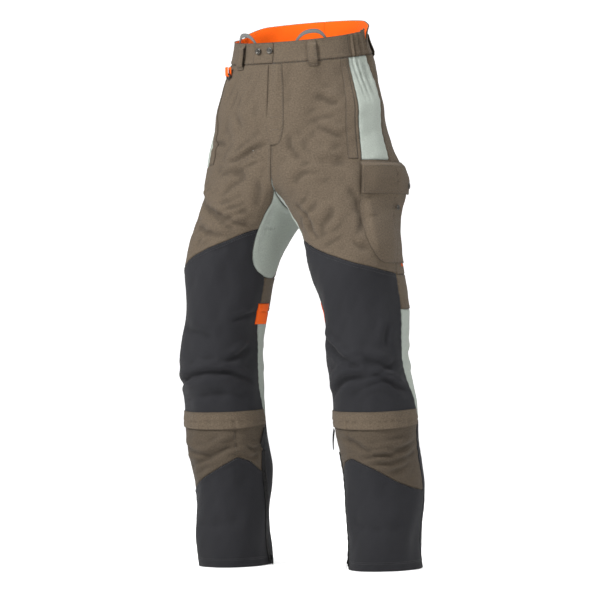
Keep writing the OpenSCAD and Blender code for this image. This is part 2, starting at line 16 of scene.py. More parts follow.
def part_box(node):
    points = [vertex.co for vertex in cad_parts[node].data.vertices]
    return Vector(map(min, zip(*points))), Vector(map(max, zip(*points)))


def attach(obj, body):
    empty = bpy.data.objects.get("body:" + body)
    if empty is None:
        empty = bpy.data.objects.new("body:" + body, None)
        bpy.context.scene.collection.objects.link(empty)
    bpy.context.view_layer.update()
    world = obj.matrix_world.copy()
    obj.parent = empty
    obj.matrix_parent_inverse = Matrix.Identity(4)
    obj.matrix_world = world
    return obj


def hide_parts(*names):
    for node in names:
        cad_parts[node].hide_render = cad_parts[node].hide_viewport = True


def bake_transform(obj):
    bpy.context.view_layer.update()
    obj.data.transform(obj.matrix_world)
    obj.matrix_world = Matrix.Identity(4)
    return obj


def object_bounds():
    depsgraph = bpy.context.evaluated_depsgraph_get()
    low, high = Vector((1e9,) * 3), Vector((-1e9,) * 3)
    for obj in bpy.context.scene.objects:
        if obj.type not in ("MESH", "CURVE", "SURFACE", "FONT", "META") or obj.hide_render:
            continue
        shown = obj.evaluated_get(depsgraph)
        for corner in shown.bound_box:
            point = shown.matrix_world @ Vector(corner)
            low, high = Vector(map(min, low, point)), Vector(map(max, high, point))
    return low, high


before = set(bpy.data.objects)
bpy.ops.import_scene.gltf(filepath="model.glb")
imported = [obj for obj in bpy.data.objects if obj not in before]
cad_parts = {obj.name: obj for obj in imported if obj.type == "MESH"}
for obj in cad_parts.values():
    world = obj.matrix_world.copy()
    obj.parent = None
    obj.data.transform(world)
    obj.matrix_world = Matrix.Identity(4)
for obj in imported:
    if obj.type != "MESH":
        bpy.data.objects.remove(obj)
CAD_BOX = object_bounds()

bl_info = {
    "name": "Protective Work Trousers",
    "version": (1, 0, 0),
    "blender": (4, 5, 0),
    "location": "View3D > Sidebar > Trousers",
    "description": "Builds protective work trousers with knee panels and a cargo pocket",
    "category": "Object",
}

MM = 0.001
LEFT, RIGHT = 1, -1
SIDE_NAME = {LEFT: "left", RIGHT: "right"}

# ---------- sizes shared with the frame, in millimetres ----------

WAIST_H, CROTCH_H, KNEE_H = 1004.0, 684.0, 421.0
BACK_RISE = 40.0
SEAM_H = WAIST_H - 40.0
POCKET_H = SEAM_H - 188.0
FLY_H = SEAM_H - 130.0
GUSSET_H = CROTCH_H + 60.0
THIGH_H = KNEE_H + 138.0
BACK_SPLIT_H = THIGH_H - 66.0
SHIN_H = KNEE_H - 137.0
ROUNDNESS = 2.15
LEG_TURN = 24.0
ELASTIC_FROM, ELASTIC_TO = 71.0, 102.0
CARGO_TOP, CARGO_BACK, CARGO_DEPTH = POCKET_H - 16.0, 118.0, 8.0
FLAP_TOP, FLAP_HEIGHT, FLAP_PROUD = POCKET_H - 3.0, 62.0, 12.4
BELT_LOOP_AT, BELT_LOOP_HALF = (33, 128), 9.0
BRACE_AT, BRACE_HALF = 33.0, 42.0
WAIST_DEGREES = 0.44  # degrees around the waist in one millimetre
# how deep the hidden layers lie under the outer cloth
BAG_DEPTH, INSERT_DEPTH, HIP_LINING_DEPTH, THIGH_LINING_DEPTH, PAD_DEPTH = 3.9, 4.6, 8.0, 8.4, 11.0

# height, centre x, half width, half depth, centre y
STATIONS = np.array([
    (0, 166, 67, 76, 1), (134, 167, 70, 81, -8), (284, 165, 74, 85, -26),
    (421, 160, 75, 86, -45), (559, 140, 80, 100, -41), (634, 122, 88, 109, -27),
    (684, 100, 100, 118, -14), (709, 84.5, 115, 124, -6), (744, 52, 149, 127, -2),
    (804, 12, 175, 121, 0), (864, 0, 172, 118, 0), (916, 0, 157, 112, 0),
    (964, 0, 140, 108, 0), (1004, 0, 131, 104, 0), (1054, 0, 138, 109, 3)], float)


def station_slopes():
    """Slope of each column at each station: flat at a turning point, else harmonic."""
    rise = np.diff(STATIONS[:, 1:], axis=0) / np.diff(STATIONS[:, 0])[:, None]
    slopes = np.zeros((len(STATIONS), 4))
    slopes[0], slopes[-1] = rise[0], rise[-1]
    low, high = rise[:-1], rise[1:]
    same = low * high > 0
    slopes[1:-1][same] = (2 * low * high)[same] / (low + high)[same]
    return slopes


SLOPES = station_slopes()


# ---------- the cloth's surface ----------

def smooth(t):
    """A step from 0 to 1 that starts and ends level."""
    t = np.clip(t, 0.0, 1.0)
    return t * t * (3 - 2 * t)


def spow(v, e):
    """A power that keeps the sign."""
    return np.sign(v) * np.abs(v) ** e


def section(h):
    """Centre x, half width, half depth and centre y at heights h."""
    h = np.clip(np.asarray(h, float), 0.0, STATIONS[-1, 0])
    i = np.clip(np.searchsorted(STATIONS[:, 0], h, side="right") - 1, 0, len(STATIONS) - 2)
    a, b = STATIONS[i], STATIONS[i + 1]
    span = b[..., 0] - a[..., 0]
    t = (h - a[..., 0]) / span
    t2, t3 = t * t, t * t * t
    return [(2 * t3 - 3 * t2 + 1) * a[..., k + 1] + (t3 - 2 * t2 + t) * span * SLOPES[i, k]
            + (3 * t2 - 2 * t3) * b[..., k + 1] + (t3 - t2) * span * SLOPES[i + 1, k]
            for k in range(4)]


def cloth(side, th, h, off=0.0, split=True):
    """Points of the cloth in metres, off millimetres outside its smooth surface.

    A split side keeps to its own half of the body; otherwise it may cross the middle.
    """
    cx, a, b, cy = section(h)
    turn = np.radians(th + side * LEG_TURN * np.clip((CROTCH_H - h) / CROTCH_H, 0, 1))
    e = 2 * (ROUNDNESS - 1) / ROUNDNESS
    nx, ny = spow(np.sin(turn), e) / a, -spow(np.cos(turn), e) / b
    length = np.hypot(nx, ny)
    nx, ny = nx / length, ny / length
    x = cx + a * spow(np.sin(turn), 2 / ROUNDNESS) + off * nx
    y = cy - b * spow(np.cos(turn), 2 / ROUNDNESS) + off * ny
    lift = (BACK_RISE * np.clip((y / 110 + 1) / 2, 0, 1)
            * np.clip((h - CROTCH_H - 120) / (WAIST_H - CROTCH_H - 120), 0, 1) ** 1.5)
    z = h - WAIST_H + lift
    return np.stack([side * (np.maximum(x, 0.0) if split else x), y, z], axis=-1) * MM


def outward(side, th, h):
    """Level unit vectors that point out of the cloth."""
    d = cloth(side, th, h, 4.0) - cloth(side, th, h, -4.0)
    return d / np.maximum(np.linalg.norm(d, axis=-1, keepdims=True), 1e-9)


def girth(h):
    """Millimetres of cloth in one degree around."""
    _, a, b, _ = section(h)
    return (a + b) / 2 * math.pi / 180 * 1.03


def middle_angle(h):
    """Angle at which each height meets the middle seam."""
    cx, a, _, _ = section(h)
    return np.degrees(np.arcsin(np.clip(np.maximum(cx, 0) / a, 0, 1) ** (ROUNDNESS / 2)))


def middle_height(angle):
    """Height at which the middle seam passes each angle."""
    heights = np.linspace(CROTCH_H, CROTCH_H + 180, 400)
    return np.interp(angle, middle_angle(heights)[::-1], heights[::-1])


def hip_line(side, th, base):
    """Height of the slanting line of the hip's fold, base at the middle."""
    low, high = np.full(np.shape(th), THIGH_H - 20), np.full(np.shape(th), SEAM_H)
    for _ in range(16):
        mid = (low + high) / 2
        x = np.abs(cloth(side, th, mid)[..., 0]) / MM
        below = mid < base + math.tan(math.radians(55)) * x
        low, high = np.where(below, mid, low), np.where(below, high, mid)
    return (low + high) / 2


# ---------- seam lines: angle by height, or height by angle ----------

def line(points):
    """A function that interpolates between (place, value) points."""
    xs, ys = zip(*points)
    return lambda v: np.interp(v, xs, ys)


def curve(points):
    """A smooth function through (place, value) points that never overshoots them."""
    xs, ys = (np.array(v, float) for v in zip(*points))
    rate = np.diff(ys) / np.diff(xs)
    slope = np.concatenate([[rate[0]], np.zeros(len(rate) - 1), [rate[-1]]])
    same = rate[:-1] * rate[1:] > 0
    slope[1:-1][same] = (2 * rate[:-1] * rate[1:])[same] / (rate[:-1] + rate[1:])[same]
    fine = np.linspace(xs[0], xs[-1], 400)
    i = np.clip(np.searchsorted(xs, fine, side="right") - 1, 0, len(rate) - 1)
    span = np.diff(xs)[i]
    t = (fine - xs[i]) / span
    value = ((2 * t**3 - 3 * t**2 + 1) * ys[i] + (t**3 - 2 * t**2 + t) * span * slope[i]
             + (3 * t**2 - 2 * t**3) * ys[i + 1] + (t**3 - t**2) * span * slope[i + 1])
    return line(list(zip(fine, value)))


GUSSET_EDGE = curve([(558, -84), (561, -77), (570, -67), (588, -58.5), (612, -53), (640, -49.5),
                     (696, -44.5), (744, -float(middle_angle(744)))])
INNER_EDGE = line([(0, -79), (226, -75), (284, -87), (421, -86), (559, -78.5)])


def inner_seam(h):
    """Angle of the inside seam, along the edge of the gusset above the knee."""
    h = np.asarray(h, float)
    return np.where(h >= GUSSET_H, -middle_angle(h),
                    np.where(h > THIGH_H, GUSSET_EDGE(h), INNER_EDGE(h)))


def outer_seam(h):
    """Angle of the outside seam."""
    return 88 - 9 * np.exp(-((h - KNEE_H) / 90) ** 2) - 2.5 * smooth((h - POCKET_H + 40) / 40)


def back_middle(h):
    """Angle at which a back panel meets the inside seam or the middle."""
    return np.where(np.asarray(h) > THIGH_H, 180 - inner_seam(h), 360 + inner_seam(h))


def side_front(h):
    """Angle of the front edge of the stretch side panel."""
    return 56.5 + 13 * (h - POCKET_H) / 188


def side_back(h):
    """Angle of the back edge of the stretch side panel."""
    return 85.5 + 12.5 * (h - POCKET_H) / 188


def fly_angle(h):
    """Angle of the edge that laps over the fly."""
    return np.degrees(np.arcsin((8 / section(h)[1]) ** (ROUNDNESS / 2)))


def front_inner(h):
    """Angle of the inner edge of the front panel."""
    return inner_seam(h) + smooth((h - FLY_H + 8) / 16) * fly_angle(h)


def seat_outer(h):
    """Angle of the outer edge of the seat panel."""
    return np.where(h >= POCKET_H, side_back(h), outer_seam(h))


KNEE_TOP = curve([(-50, 81), (-37, 75), (-13, 57), (10, 43), (34, 30), (60, 15), (88, 1)])
LEG_TOP = line([(-87, 172), (-72, 184), (-50, 205), (-29, 214), (0, 195), (35, 170),
                (70, 153), (88, 148)])
CARGO_FRONT = line([(626, 44.5), (716, 50.5), (776, 56)])
CARGO_LOW = line([(44, 638), (47, 614), (52, 597), (58, 586), (66, 580)])
GUSSET_RISE = np.linspace(558, 744, 300)
GUSSET_LOW = line([(0, 557)] + list(zip(90 + GUSSET_EDGE(GUSSET_RISE), GUSSET_RISE)))
PEAK_ANGLE = -29.0


def knee_top(side):
    """The top edge of the knee panel as height by angle."""
    return lambda th: THIGH_H - side * 12 * np.clip((88 - th) / 60, 0, 1) + KNEE_TOP(th)


def gusset_low(th):
    """Lower edge of the gusset, the same in front and behind."""
    return GUSSET_LOW(np.abs(th + 90))


def gusset_high(th):
    """Upper edge of the gusset, on the middle seam."""
    return middle_height(90 - np.abs(th + 90))


def level(value):
    """An edge that keeps one value."""
    return lambda v: np.full(np.shape(v), float(value))


# ---------- folds, seams and gathers: millimetres outward ----------

# Each fold is a crease through its (angle, height) points, with its width and depth
FOLDS = {
    RIGHT: [
        ([(-4, 816), (8, 803), (16, 786), (32, 780)], 6, 3.2),
        ([(60, 815), (46, 818), (34, 815)], 5, 2.0),
        ([(34, 762), (14, 760), (5, 750), (8, 736), (12, 718)], 8, 2.6),
        ([(-8, 742), (-22, 716), (-33, 690)], 5, 2.6),
        ([(44, 704), (20, 690), (-2, 668), (-27, 642)], 7, 3.2),
        ([(26, 690), (6, 682), (-20, 664), (-47, 648)], 5, 2.4),
        ([(34, 662), (13, 648), (-6, 640), (-24, 634)], 6, 2.4),
        ([(62, 726), (46, 712), (30, 706)], 7, 2.0),
        ([(30, 880), (22, 850), (26, 826)], 9, 1.6),
        ([(78, 350), (50, 362), (14, 376), (-12, 380), (-38, 376), (-74, 360)], 6, 4.4),
        ([(-26, 396), (-48, 410), (-70, 428)], 6, 2.8),
        ([(44, 464), (6, 454), (-14, 440)], 9, 1.8),
        ([(-36, 476), (-50, 483), (-78, 496)], 4, 1.8),
        ([(64, 326), (20, 334), (-20, 338), (-54, 330)], 8, 2.0),
        ([(76, 240), (66, 233), (28, 222), (10, 218)], 5, 2.2),
        ([(64, 194), (34, 205), (7, 220), (-16, 236), (-36, 246)], 7, 3.2),
        ([(50, 182), (30, 190), (12, 201)], 6, 2.2),
        ([(-40, 217), (-54, 213), (-68, 222)], 4, 1.8),
        ([(-43, 238), (-58, 228), (-72, 234)], 4, 1.6),
        ([(60, 92), (20, 84), (-30, 96)], 12, 1.4),
    ],
    LEFT: [
        ([(15, 762), (6, 750), (-3, 730)], 7, 2.2),
        ([(-24, 694), (-15, 670), (-18, 650), (-14, 628)], 6, 3.2),
        ([(18, 692), (11, 670), (0, 654), (-8, 640)], 7, 2.8),
        ([(10, 830), (8, 806), (11, 778)], 6, 2.2),
        ([(28, 898), (38, 890), (49, 879)], 7, 1.8),
        ([(28, 842), (36, 832), (48, 817)], 6, 2.0),
        ([(20, 778), (34, 773), (47, 777)], 8, 1.6),
        ([(38, 726), (46, 694), (47, 660), (43, 626)], 8, 2.4),
        ([(26, 624), (36, 612), (50, 606)], 7, 1.6),
        ([(-66, 446), (-37, 422), (-10, 398), (10, 382)], 6, 4.0),
        ([(-62, 328), (-43, 342), (-18, 362), (-2, 368), (12, 365)], 7, 4.0),
        ([(10, 405), (20, 398), (34, 392), (54, 382)], 7, 3.2),
        ([(22, 374), (34, 367), (54, 353), (76, 340)], 6, 3.6),
        ([(60, 470), (50, 440), (52, 420)], 7, 1.8),
        ([(-44, 252), (-21, 244), (-6, 230), (8, 223)], 5, 2.4),
        ([(-12, 217), (30, 223), (60, 235), (84, 243)], 6, 3.0),
        ([(-4, 206), (20, 205), (50, 212), (84, 225)], 6, 2.8),
        ([(18, 186), (30, 189), (46, 194), (66, 202)], 5, 2.2),
        ([(-50, 96), (0, 80), (50, 88)], 12, 1.6),
    ],
}
# Folds at the back of either leg
BACK_FOLDS = [
    ([(118, 702), (150, 690), (190, 676), (222, 668)], 9, 2.1),
    ([(128, 664), (160, 655), (196, 648)], 8, 1.5),
    ([(112, 800), (135, 790), (158, 792)], 10, 1.1),
    ([(140, 860), (152, 830), (160, 800)], 9, 1.0),
    ([(114, 444), (145, 438), (180, 436), (215, 440), (240, 446)], 7, 2.4),
    ([(112, 410), (140, 403), (180, 400), (220, 404), (244, 412)], 8, 2.9),
    ([(116, 372), (150, 364), (200, 363), (240, 370)], 7, 2.4),
    ([(112, 340), (160, 331), (230, 336)], 8, 1.6),
    ([(120, 520), (170, 508), (225, 512)], 9, 1.4),
    ([(120, 210), (165, 198), (220, 204)], 8, 1.5),
    ([(140, 170), (190, 160), (240, 172)], 9, 1.2),
    ([(130, 86), (180, 76), (230, 88)], 12, 1.1),
]
FOLD_FADE = 14.0


def path_of(points, spacing=9.0):
    """A smooth path through (angle, height) points, as dense arrays."""
    pts = np.array(points, float)
    knots = np.arange(len(pts))
    steps = max(2, int(np.hypot(np.diff(pts[:, 0]) * 1.6, np.diff(pts[:, 1])).sum() / spacing))
    t = np.linspace(0, len(pts) - 1, steps + 1)
    i = np.clip(t.astype(int), 0, len(pts) - 2)
    f = (t - i)[:, None]
    before, after = pts[np.maximum(i - 1, 0)], pts[np.minimum(i + 2, knots[-1])]
    a, b = pts[i], pts[i + 1]
    m0, m1 = (b - before) / 2, (after - a) / 2
    return ((2 * f**3 - 3 * f**2 + 1) * a + (f**3 - 2 * f**2 + f) * m0
            + (3 * f**2 - 2 * f**3) * b + (f**3 - f**2) * m1)


def nearest(th, h, path):
    """Distance to a path in millimetres, signed up, the share along it and the run."""
    mid = path[:, 0].mean()
    px, py = (path[:, 0] - mid) * girth(path[:, 1]), path[:, 1]
    x, y = ((th - mid + 180) % 360 - 180) * girth(h), h
    dx, dy = np.diff(px), np.diff(py)
    length = np.hypot(dx, dy)
    run = np.concatenate([[0], np.cumsum(length)])
    rx, ry = x[:, None] - px[:-1], y[:, None] - py[:-1]
    t = np.clip((rx * dx + ry * dy) / length**2, 0, 1)
    ex, ey = rx - t * dx, ry - t * dy
    d = np.hypot(ex, ey)
    k = d.argmin(axis=1)
    rows = np.arange(len(d))
    along = run[k] + t[rows, k] * length[k]
    up = np.sign(ey[rows, k] + 1e-9 * ex[rows, k])
    return d[rows, k], up, along / run[-1], along


def crease(d, up, share, width, depth):
    """A crease with a full roll of cloth above it and a small one below."""
    s = d * up / width
    shape = (-np.exp(-s**2) + 0.85 * np.exp(-((s - 2.1) / 1.5) ** 2)
             + 0.4 * np.exp(-((s + 2.2) / 1.5) ** 2))
    return depth * shape * np.sin(np.pi * np.clip(share, 0, 1)) ** 0.7


def seam_paths():
    """The seams of one side, as paths of (angle, height)."""
    def rising(edge, low, high, n):
        h = np.linspace(low, high, n)
        return np.stack([edge(h), h], axis=1)

    def round_about(edge, low, high, n):
        th = np.linspace(low, high, n)
        return np.stack([th, edge(th)], axis=1)
    return [
        round_about(level(SEAM_H), 0, 180, 24), rising(side_front, POCKET_H, SEAM_H, 6),
        rising(side_back, POCKET_H, SEAM_H, 6), round_about(level(POCKET_H), 56.5, 85.5, 5),
        rising(outer_seam, 0, POCKET_H, 40), rising(inner_seam, 0, THIGH_H, 30),
        rising(inner_seam, THIGH_H + 1, GUSSET_H, 16),
        rising(lambda h: 180 - inner_seam(h), THIGH_H + 1, GUSSET_H, 16),
        round_about(level(SHIN_H), -87, 88, 16), round_about(level(SHIN_H), 88, 273, 16),
        round_about(level(BACK_SPLIT_H), 88, 279, 16),
        round_about(level(THIGH_H), 88, 281.5, 16), round_about(LEG_TOP, -75, 88, 24),
        rising(level(PEAK_ANGLE), 214, SHIN_H, 4),
    ]


SEAMS = seam_paths()
FOLD_PATHS = {side: [(path_of(points), width, depth)
                     for points, width, depth in FOLDS[side] + BACK_FOLDS]
              for side in (LEFT, RIGHT)}
KNEE_SEAM = {side: np.stack([np.linspace(-72, 88, 28), knee_top(side)(np.linspace(-72, 88, 28))],
                            axis=1) for side in (LEFT, RIGHT)}
RNG = np.random.default_rng(11)
SWELL = [(RNG.normal(size=3), length, RNG.uniform(0, 6.28), height)
         for length, height in [(0.19, 1.3), (0.14, 1.0), (0.11, 0.8), (0.083, 0.6),
                                (0.061, 0.42), (0.047, 0.3), (0.034, 0.2), (0.025, 0.14)]]


def swell(place):
    """The gentle unevenness of seam cloth."""
    total = 0
    for direction, length, phase, height in SWELL:
        k = direction / np.linalg.norm(direction) * 2 * math.pi / length
        total = total + height * np.sin(place @ k + phase)
    return total


def gathers(th, h):
    """Upright pleats that the elastic draws into the waist and the cloth under it."""
    across = (th - ELASTIC_FROM) / (ELASTIC_TO - ELASTIC_FROM)
    within = smooth(across / 0.08) * smooth((1 - across) / 0.08)
    strength = smooth((h - 868) / 96) * (1 - 0.25 * smooth((h - 985) / 19))
    wave = (np.cos(2 * math.pi * (4.6 * across + 0.35 * np.sin(5 * across)))
            + 0.45 * np.cos(2 * math.pi * 9.7 * across + 1.3 + h / 40))
    return 3.0 * within * strength * wave


# Zones of fine wrinkles: angle, height, reach around and up, slant, spacing and depth
WRINKLES = {
    RIGHT: [(0, 224, 70, 26, 72, 17, 1.5), (-10, 380, 75, 24, 84, 21, 1.4),
            (0, 664, 62, 42, 58, 24, 1.7), (12, 782, 40, 34, 60, 19, 1.3),
            (45, 690, 30, 60, 50, 26, 1.0), (25, 905, 45, 35, 12, 22, 0.8)],
    LEFT: [(24, 222, 75, 28, 96, 17, 1.7), (14, 376, 80, 30, 108, 20, 1.7),
           (-8, 664, 42, 50, 118, 22, 1.6), (10, 772, 34, 34, 112, 19, 1.3),
           (40, 846, 40, 40, 118, 20, 1.0), (42, 654, 22, 50, 150, 22, 1.1)],
}


def wrinkles(side, th, h):
    """Fine wrinkles that come in patches."""
    total = 0.0
    for th0, h0, around, upward, slant, spacing, depth in WRINKLES[side]:
        s = ((th - th0 + 180) % 360 - 180) * girth(h)
        y = h - h0
        a = math.radians(slant)
        bend = 1.3 * np.sin(s / 23 + y / 31) + 0.8 * np.sin(s / 11 - y / 17 + th0)
        wave = np.sin(2 * math.pi * (s * math.cos(a) + y * math.sin(a)) / spacing + bend)
        fade = np.exp(-(s / around) ** 2 - (y / upward) ** 2)
        patch = 0.55 + 0.45 * np.sin(s / 19 - y / 13 + h0)
        total = total + depth * fade * patch * (0.55 * wave + 0.45 * wave * np.abs(wave))
    return total


def seam_relief(side, th, h):
    """The groove of each seam and the puckers beside it."""
    total = np.zeros(len(th))
    for path in SEAMS + [KNEE_SEAM[side]]:
        if path[:, 1].min() - 25 > h.max() or path[:, 1].max() + 25 < h.min():
            continue
        d, _, _, run = nearest(th, h, path)
        pucker = np.sin(2 * math.pi * run / 15 + 2.2 * np.sin(run / 31))
        total += -1.5 * np.exp(-(d / 1.4) ** 2) + 0.4 * np.exp(-d / 10) * pucker
    return total


def relief(side, th, h):
    """How far the real cloth stands outside the smooth surface."""
    scale = bpy.context.scene.trouser_sizes.fold_scale
    place = cloth(side, th, h)
    middle = np.where(h > CROTCH_H, np.abs(place[:, 0]) / MM, 99.0)
    total = swell(place) * scale
    for path, width, depth in FOLD_PATHS[side]:
        reach = 5 * width
        if path[:, 1].min() - reach > h.max() or path[:, 1].max() + reach < h.min():
            continue
        d, up, share, _ = nearest(th, h, path)
        total += crease(d, up, share, width, depth) * scale
    total += wrinkles(side, th, h) * scale
    total *= smooth(middle / FOLD_FADE) * smooth((WAIST_H - h) / 60 + 0.25)
    total += gathers(th, h) + seam_relief(side, th, h)
    return total - 1.1 * np.exp(-(middle / 1.3) ** 2)


def skin(side, th, h, lift=0.0, split=True):
    """Points on the real cloth, lift millimetres off it."""
    shape = np.shape(th)
    th, h = np.ravel(th).astype(float), np.ravel(h).astype(float)
    lift = np.ravel(np.broadcast_to(lift, shape)).astype(float)
    return cloth(side, th, h, relief(side, th, h) + lift, split).reshape(*shape, 3)


# ---------- cutting and sewing ----------

def ticks(length, step, close=(0.0, 0.7, 1.7, 3.3, 5.6, 8.2)):
    """Shares along an edge: close together at both ends, then every step."""
    if length < 26:
        return np.linspace(0, 1, max(4, int(length / 2.2)) + 1)
    ends = np.array(close)
    middle = np.linspace(ends[-1], length - ends[-1], max(2, int((length - 16) / step)) + 1)
    return np.concatenate([ends[:-1], middle, (length - ends[:-1])[::-1]]) / length


def settle(left, right, edge, u, start):
    """Where the columns meet an edge that is given as height by angle."""
    h = np.full(len(u), float(start))
    for _ in range(8):
        th = left(h) + (right(h) - left(h)) * u
        h = edge(th)
    return th, h


def spread(left, right, low, high, step, cols=None, rows=None):
    """Angles and heights of a grid between four edges, and distances to them."""
    mid = float((low(np.zeros(1))[0] + high(np.zeros(1))[0]) / 2)
    h_mid = np.full(1, mid)
    width = float(np.abs(right(h_mid) - left(h_mid))[0] * girth(mid))
    u = ticks(width, step) if cols is None else np.linspace(0, 1, cols + 1)
    _, h_low = settle(left, right, low, u, mid)
    _, h_high = settle(left, right, high, u, mid)
    v = ticks(float((h_high - h_low).max()), step) if rows is None else np.linspace(0, 1, rows + 1)
    h = h_low + (h_high - h_low) * v[:, None]
    th = left(h) + (right(h) - left(h)) * u
    g = girth(h)
    span = (right(h) - left(h)) * g
    tall = np.maximum(h_high - h_low, 1e-3)
    d = {"left": u * span, "right": (1 - u) * span,
         "low": v[:, None] * tall, "high": (1 - v[:, None]) * tall}
    for name, edge in (("left", left), ("right", right)):
        slope = (edge(h + 1) - edge(h - 1)) / 2 * g
        d[name] = d[name] / np.sqrt(1 + np.minimum(slope**2, 9))
    for name, edge in (("low", low), ("high", high)):
        slope = (edge(th + 0.5) - edge(th - 0.5)) / g
        d[name] = d[name] / np.sqrt(1 + np.minimum(slope**2, 9))
    return th, h, d, u, v


def fell_rise(d, fell):
    """The shelf of folded cloth along the edges that are felled over a neighbour."""
    total = 0.0
    for edge, (height, width) in fell.items():
        away = d[edge]
        shelf = height * (1 - smooth((away - width) / 2.5))
        total = np.maximum(total, shelf * (0.35 + 0.65 * smooth(away / 1.0)))
    return total


def hollows(side, th, h, place, reach=2):
    """How deep each point of a grid lies in a crease, from 0 to 1."""
    out = outward(side, th.ravel(), np.broadcast_to(h, th.shape).ravel()).reshape(place.shape)
    wide = np.pad(place, ((reach, reach), (reach, reach), (0, 0)), mode="edge")
    here = slice(reach, -reach)
    around = (wide[2 * reach:, here] + wide[:-2 * reach, here]
              + wide[here, 2 * reach:] + wide[here, :-2 * reach]) / 4
    return np.clip(((around - place) * out).sum(axis=-1) / (1.1 * MM), 0, 1)


class Cut:
    """A piece of cloth made of one or more grids laid on the surface."""

    def __init__(self, name):
        self.name = name
        self.bm = bmesh.new()
        self.uv = self.bm.loops.layers.uv.new("cloth")
        # painted shade of the seam grooves and fold creases, which the cloth materials darken by
        self.seam = self.bm.verts.layers.float.new("seam")

    def grid(self, place, flat, seam, flip, keep=None):
        """Makes a grid of faces and moves its points into place."""
        rows, cols = place.shape[:2]
        made = bmesh.ops.create_grid(self.bm, x_segments=cols - 1, y_segments=rows - 1, size=1)
        verts = made["verts"]
        where = {}
        for v in verts:
            i = round((v.co.x + 1) / 2 * (cols - 1))
            j = round((v.co.y + 1) / 2 * (rows - 1))
            where[v] = (j, i)
            v[self.seam] = float(seam[j, i])
        faces = {f for v in verts for f in v.link_faces}
        for f in faces:
            for loop in f.loops:
                loop[self.uv].uv = flat[where[loop.vert]]
        for v, at in where.items():
            v.co = place[at]
        if flip:
            bmesh.ops.reverse_faces(self.bm, faces=list(faces))
        if keep is not None:
            gone = [v for v, at in where.items() if not keep[at]]
            bmesh.ops.delete(self.bm, geom=gone, context="VERTS")

    def lay(self, side, left, right, low, high, proud=0.0, fell=None, step=None,
            cols=None, rows=None, split=True, paint_seam_shade=True):
        """Lays a grid between four edges; proud may be a function of (u, v, distances)."""
        step = step or bpy.context.scene.trouser_sizes.mesh_step / MM
        th, h, d, u, v = spread(left, right, low, high, step, cols, rows)
        lift = proud(*np.meshgrid(u, v), d) if callable(proud) else np.full(th.shape, float(proud))
        self.place(side, th, h, d, lift + fell_rise(d, fell or {}), split, paint_seam_shade=paint_seam_shade)
        return self

    def lay_front(self, side):
        """The front panel: its upper part ends at the side panel, its lower part goes on."""
        step = bpy.context.scene.trouser_sizes.mesh_step / MM

        def middle(h):
            return side_front(np.maximum(h, POCKET_H))
        inner, outer = ticks(150, step), ticks(58, step)[1:]
        lower, upper = ticks(170, step), ticks(188, step)[1:]
        u = np.concatenate([inner, outer])
        inside = np.arange(len(u)) < len(inner)

        def left(h):
            return np.where(inside, front_inner(h), middle(h))

        def right(h):
            return np.where(inside, middle(h), outer_seam(h))
        _, h_low = settle(left, right, knee_top(side), u, 640)
        h = np.concatenate([h_low + (POCKET_H - h_low) * lower[:, None],
                            POCKET_H + (SEAM_H - POCKET_H) * np.repeat(upper[:, None], len(u), 1)])
        above = np.arange(len(h))[:, None] >= len(lower)
        th = left(h) + (right(h) - left(h)) * u
        edge = np.where(h >= POCKET_H, middle(h), outer_seam(h))
        g = girth(h)
        slope = (knee_top(side)(th + 0.5) - knee_top(side)(th - 0.5)) / g
        d = {"left": (th - front_inner(h)) * g, "right": (edge - th) * g,
             "low": (h - h_low) / np.sqrt(1 + slope**2),
             "high": np.where(inside, SEAM_H, POCKET_H) - h}
        keep = inside | ~above
        d["right"] = np.where(keep, d["right"], 0.0)
        self.place(side, th, h, d, fell_rise(d, {"right": (0.9, 7)}), True, keep)
        return self

    def place(self, side, th, h, d, lift, split, keep=None, paint_seam_shade=True):
        """Lays the points on the cloth and marks the painted shade of its seams and creases."""
        place = skin(side, th, h, lift, split)
        flat = np.stack([(th - th.mean()) * girth(h), h], axis=-1) * MM
        edge = np.minimum.reduce([d[k] for k in d])
        # Painted shade: dark down in the seam grooves at the edges and in the creases of the folds
        seam = np.exp(-(edge / 1.1) ** 2) * float(paint_seam_shade)
        crease_shade = hollows(side, th, h, place) * smooth((edge - 8) / 10)
        self.grid(place, flat, np.maximum(seam, 0.7 * crease_shade), side < 0, keep)

    def sew(self, material, thick, zone, nodes=(), round_edge=0.0):
        """Makes the object, gives it its thickness and fixes it to the body."""
        obj = new_object(self.name, self.bm, material)
        thicken(obj, thick, -1, round_edge, 60)
        return fix(obj, zone, nodes)


def new_object(name, bm, material):
    """Turns a bmesh into a smooth-shaded object at the origin."""
    mesh = bpy.data.meshes.new(name)
    for f in bm.faces:
        f.smooth = True
    bm.to_mesh(mesh)
    bm.free()
    mesh.materials.append(material)
    obj = bpy.data.objects.new(name, mesh)
    bpy.context.scene.collection.objects.link(obj)
    return obj


def thicken(obj, thick, offset, round_edge=0.0, sharp=30.0):
    """Gives cloth its thickness and rounds the edges sharper than an angle."""
    solid = obj.modifiers.new("thickness", "SOLIDIFY")
    solid.thickness = thick * MM
    solid.offset = offset
    if round_edge:
        bevel = obj.modifiers.new("soft_edge", "BEVEL")
        bevel.width = round_edge * MM
        bevel.segments = 2
        bevel.limit_method = "ANGLE"
        bevel.angle_limit = math.radians(sharp)


def fix(obj, zone, nodes=()):
    """Rides the piece on a body, or keeps it where it lies for the hip, the knee or the flap."""
    if zone == "hip":
        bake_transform(obj)
    elif zone == "knee":
        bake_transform(obj)
    elif zone == "flap":
        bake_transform(obj)
    else:
        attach(obj, zone)
    if nodes:
        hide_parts(*nodes)
    return obj


# ---------- topstitching ----------

THREADS = {}


def stitch_template():
    """Points and faces of one small stitch."""
    bm = bmesh.new()
    bmesh.ops.create_uvsphere(bm, u_segments=6, v_segments=3, radius=0.5)
    bmesh.ops.rotate(bm, verts=bm.verts, cent=(0, 0, 0), matrix=Matrix.Rotation(math.pi / 2, 3, "Y"))
    verts = np.array([v.co for v in bm.verts])
    faces = [[v.index for v in f.verts] for f in bm.faces]
    bm.free()
    return verts, faces


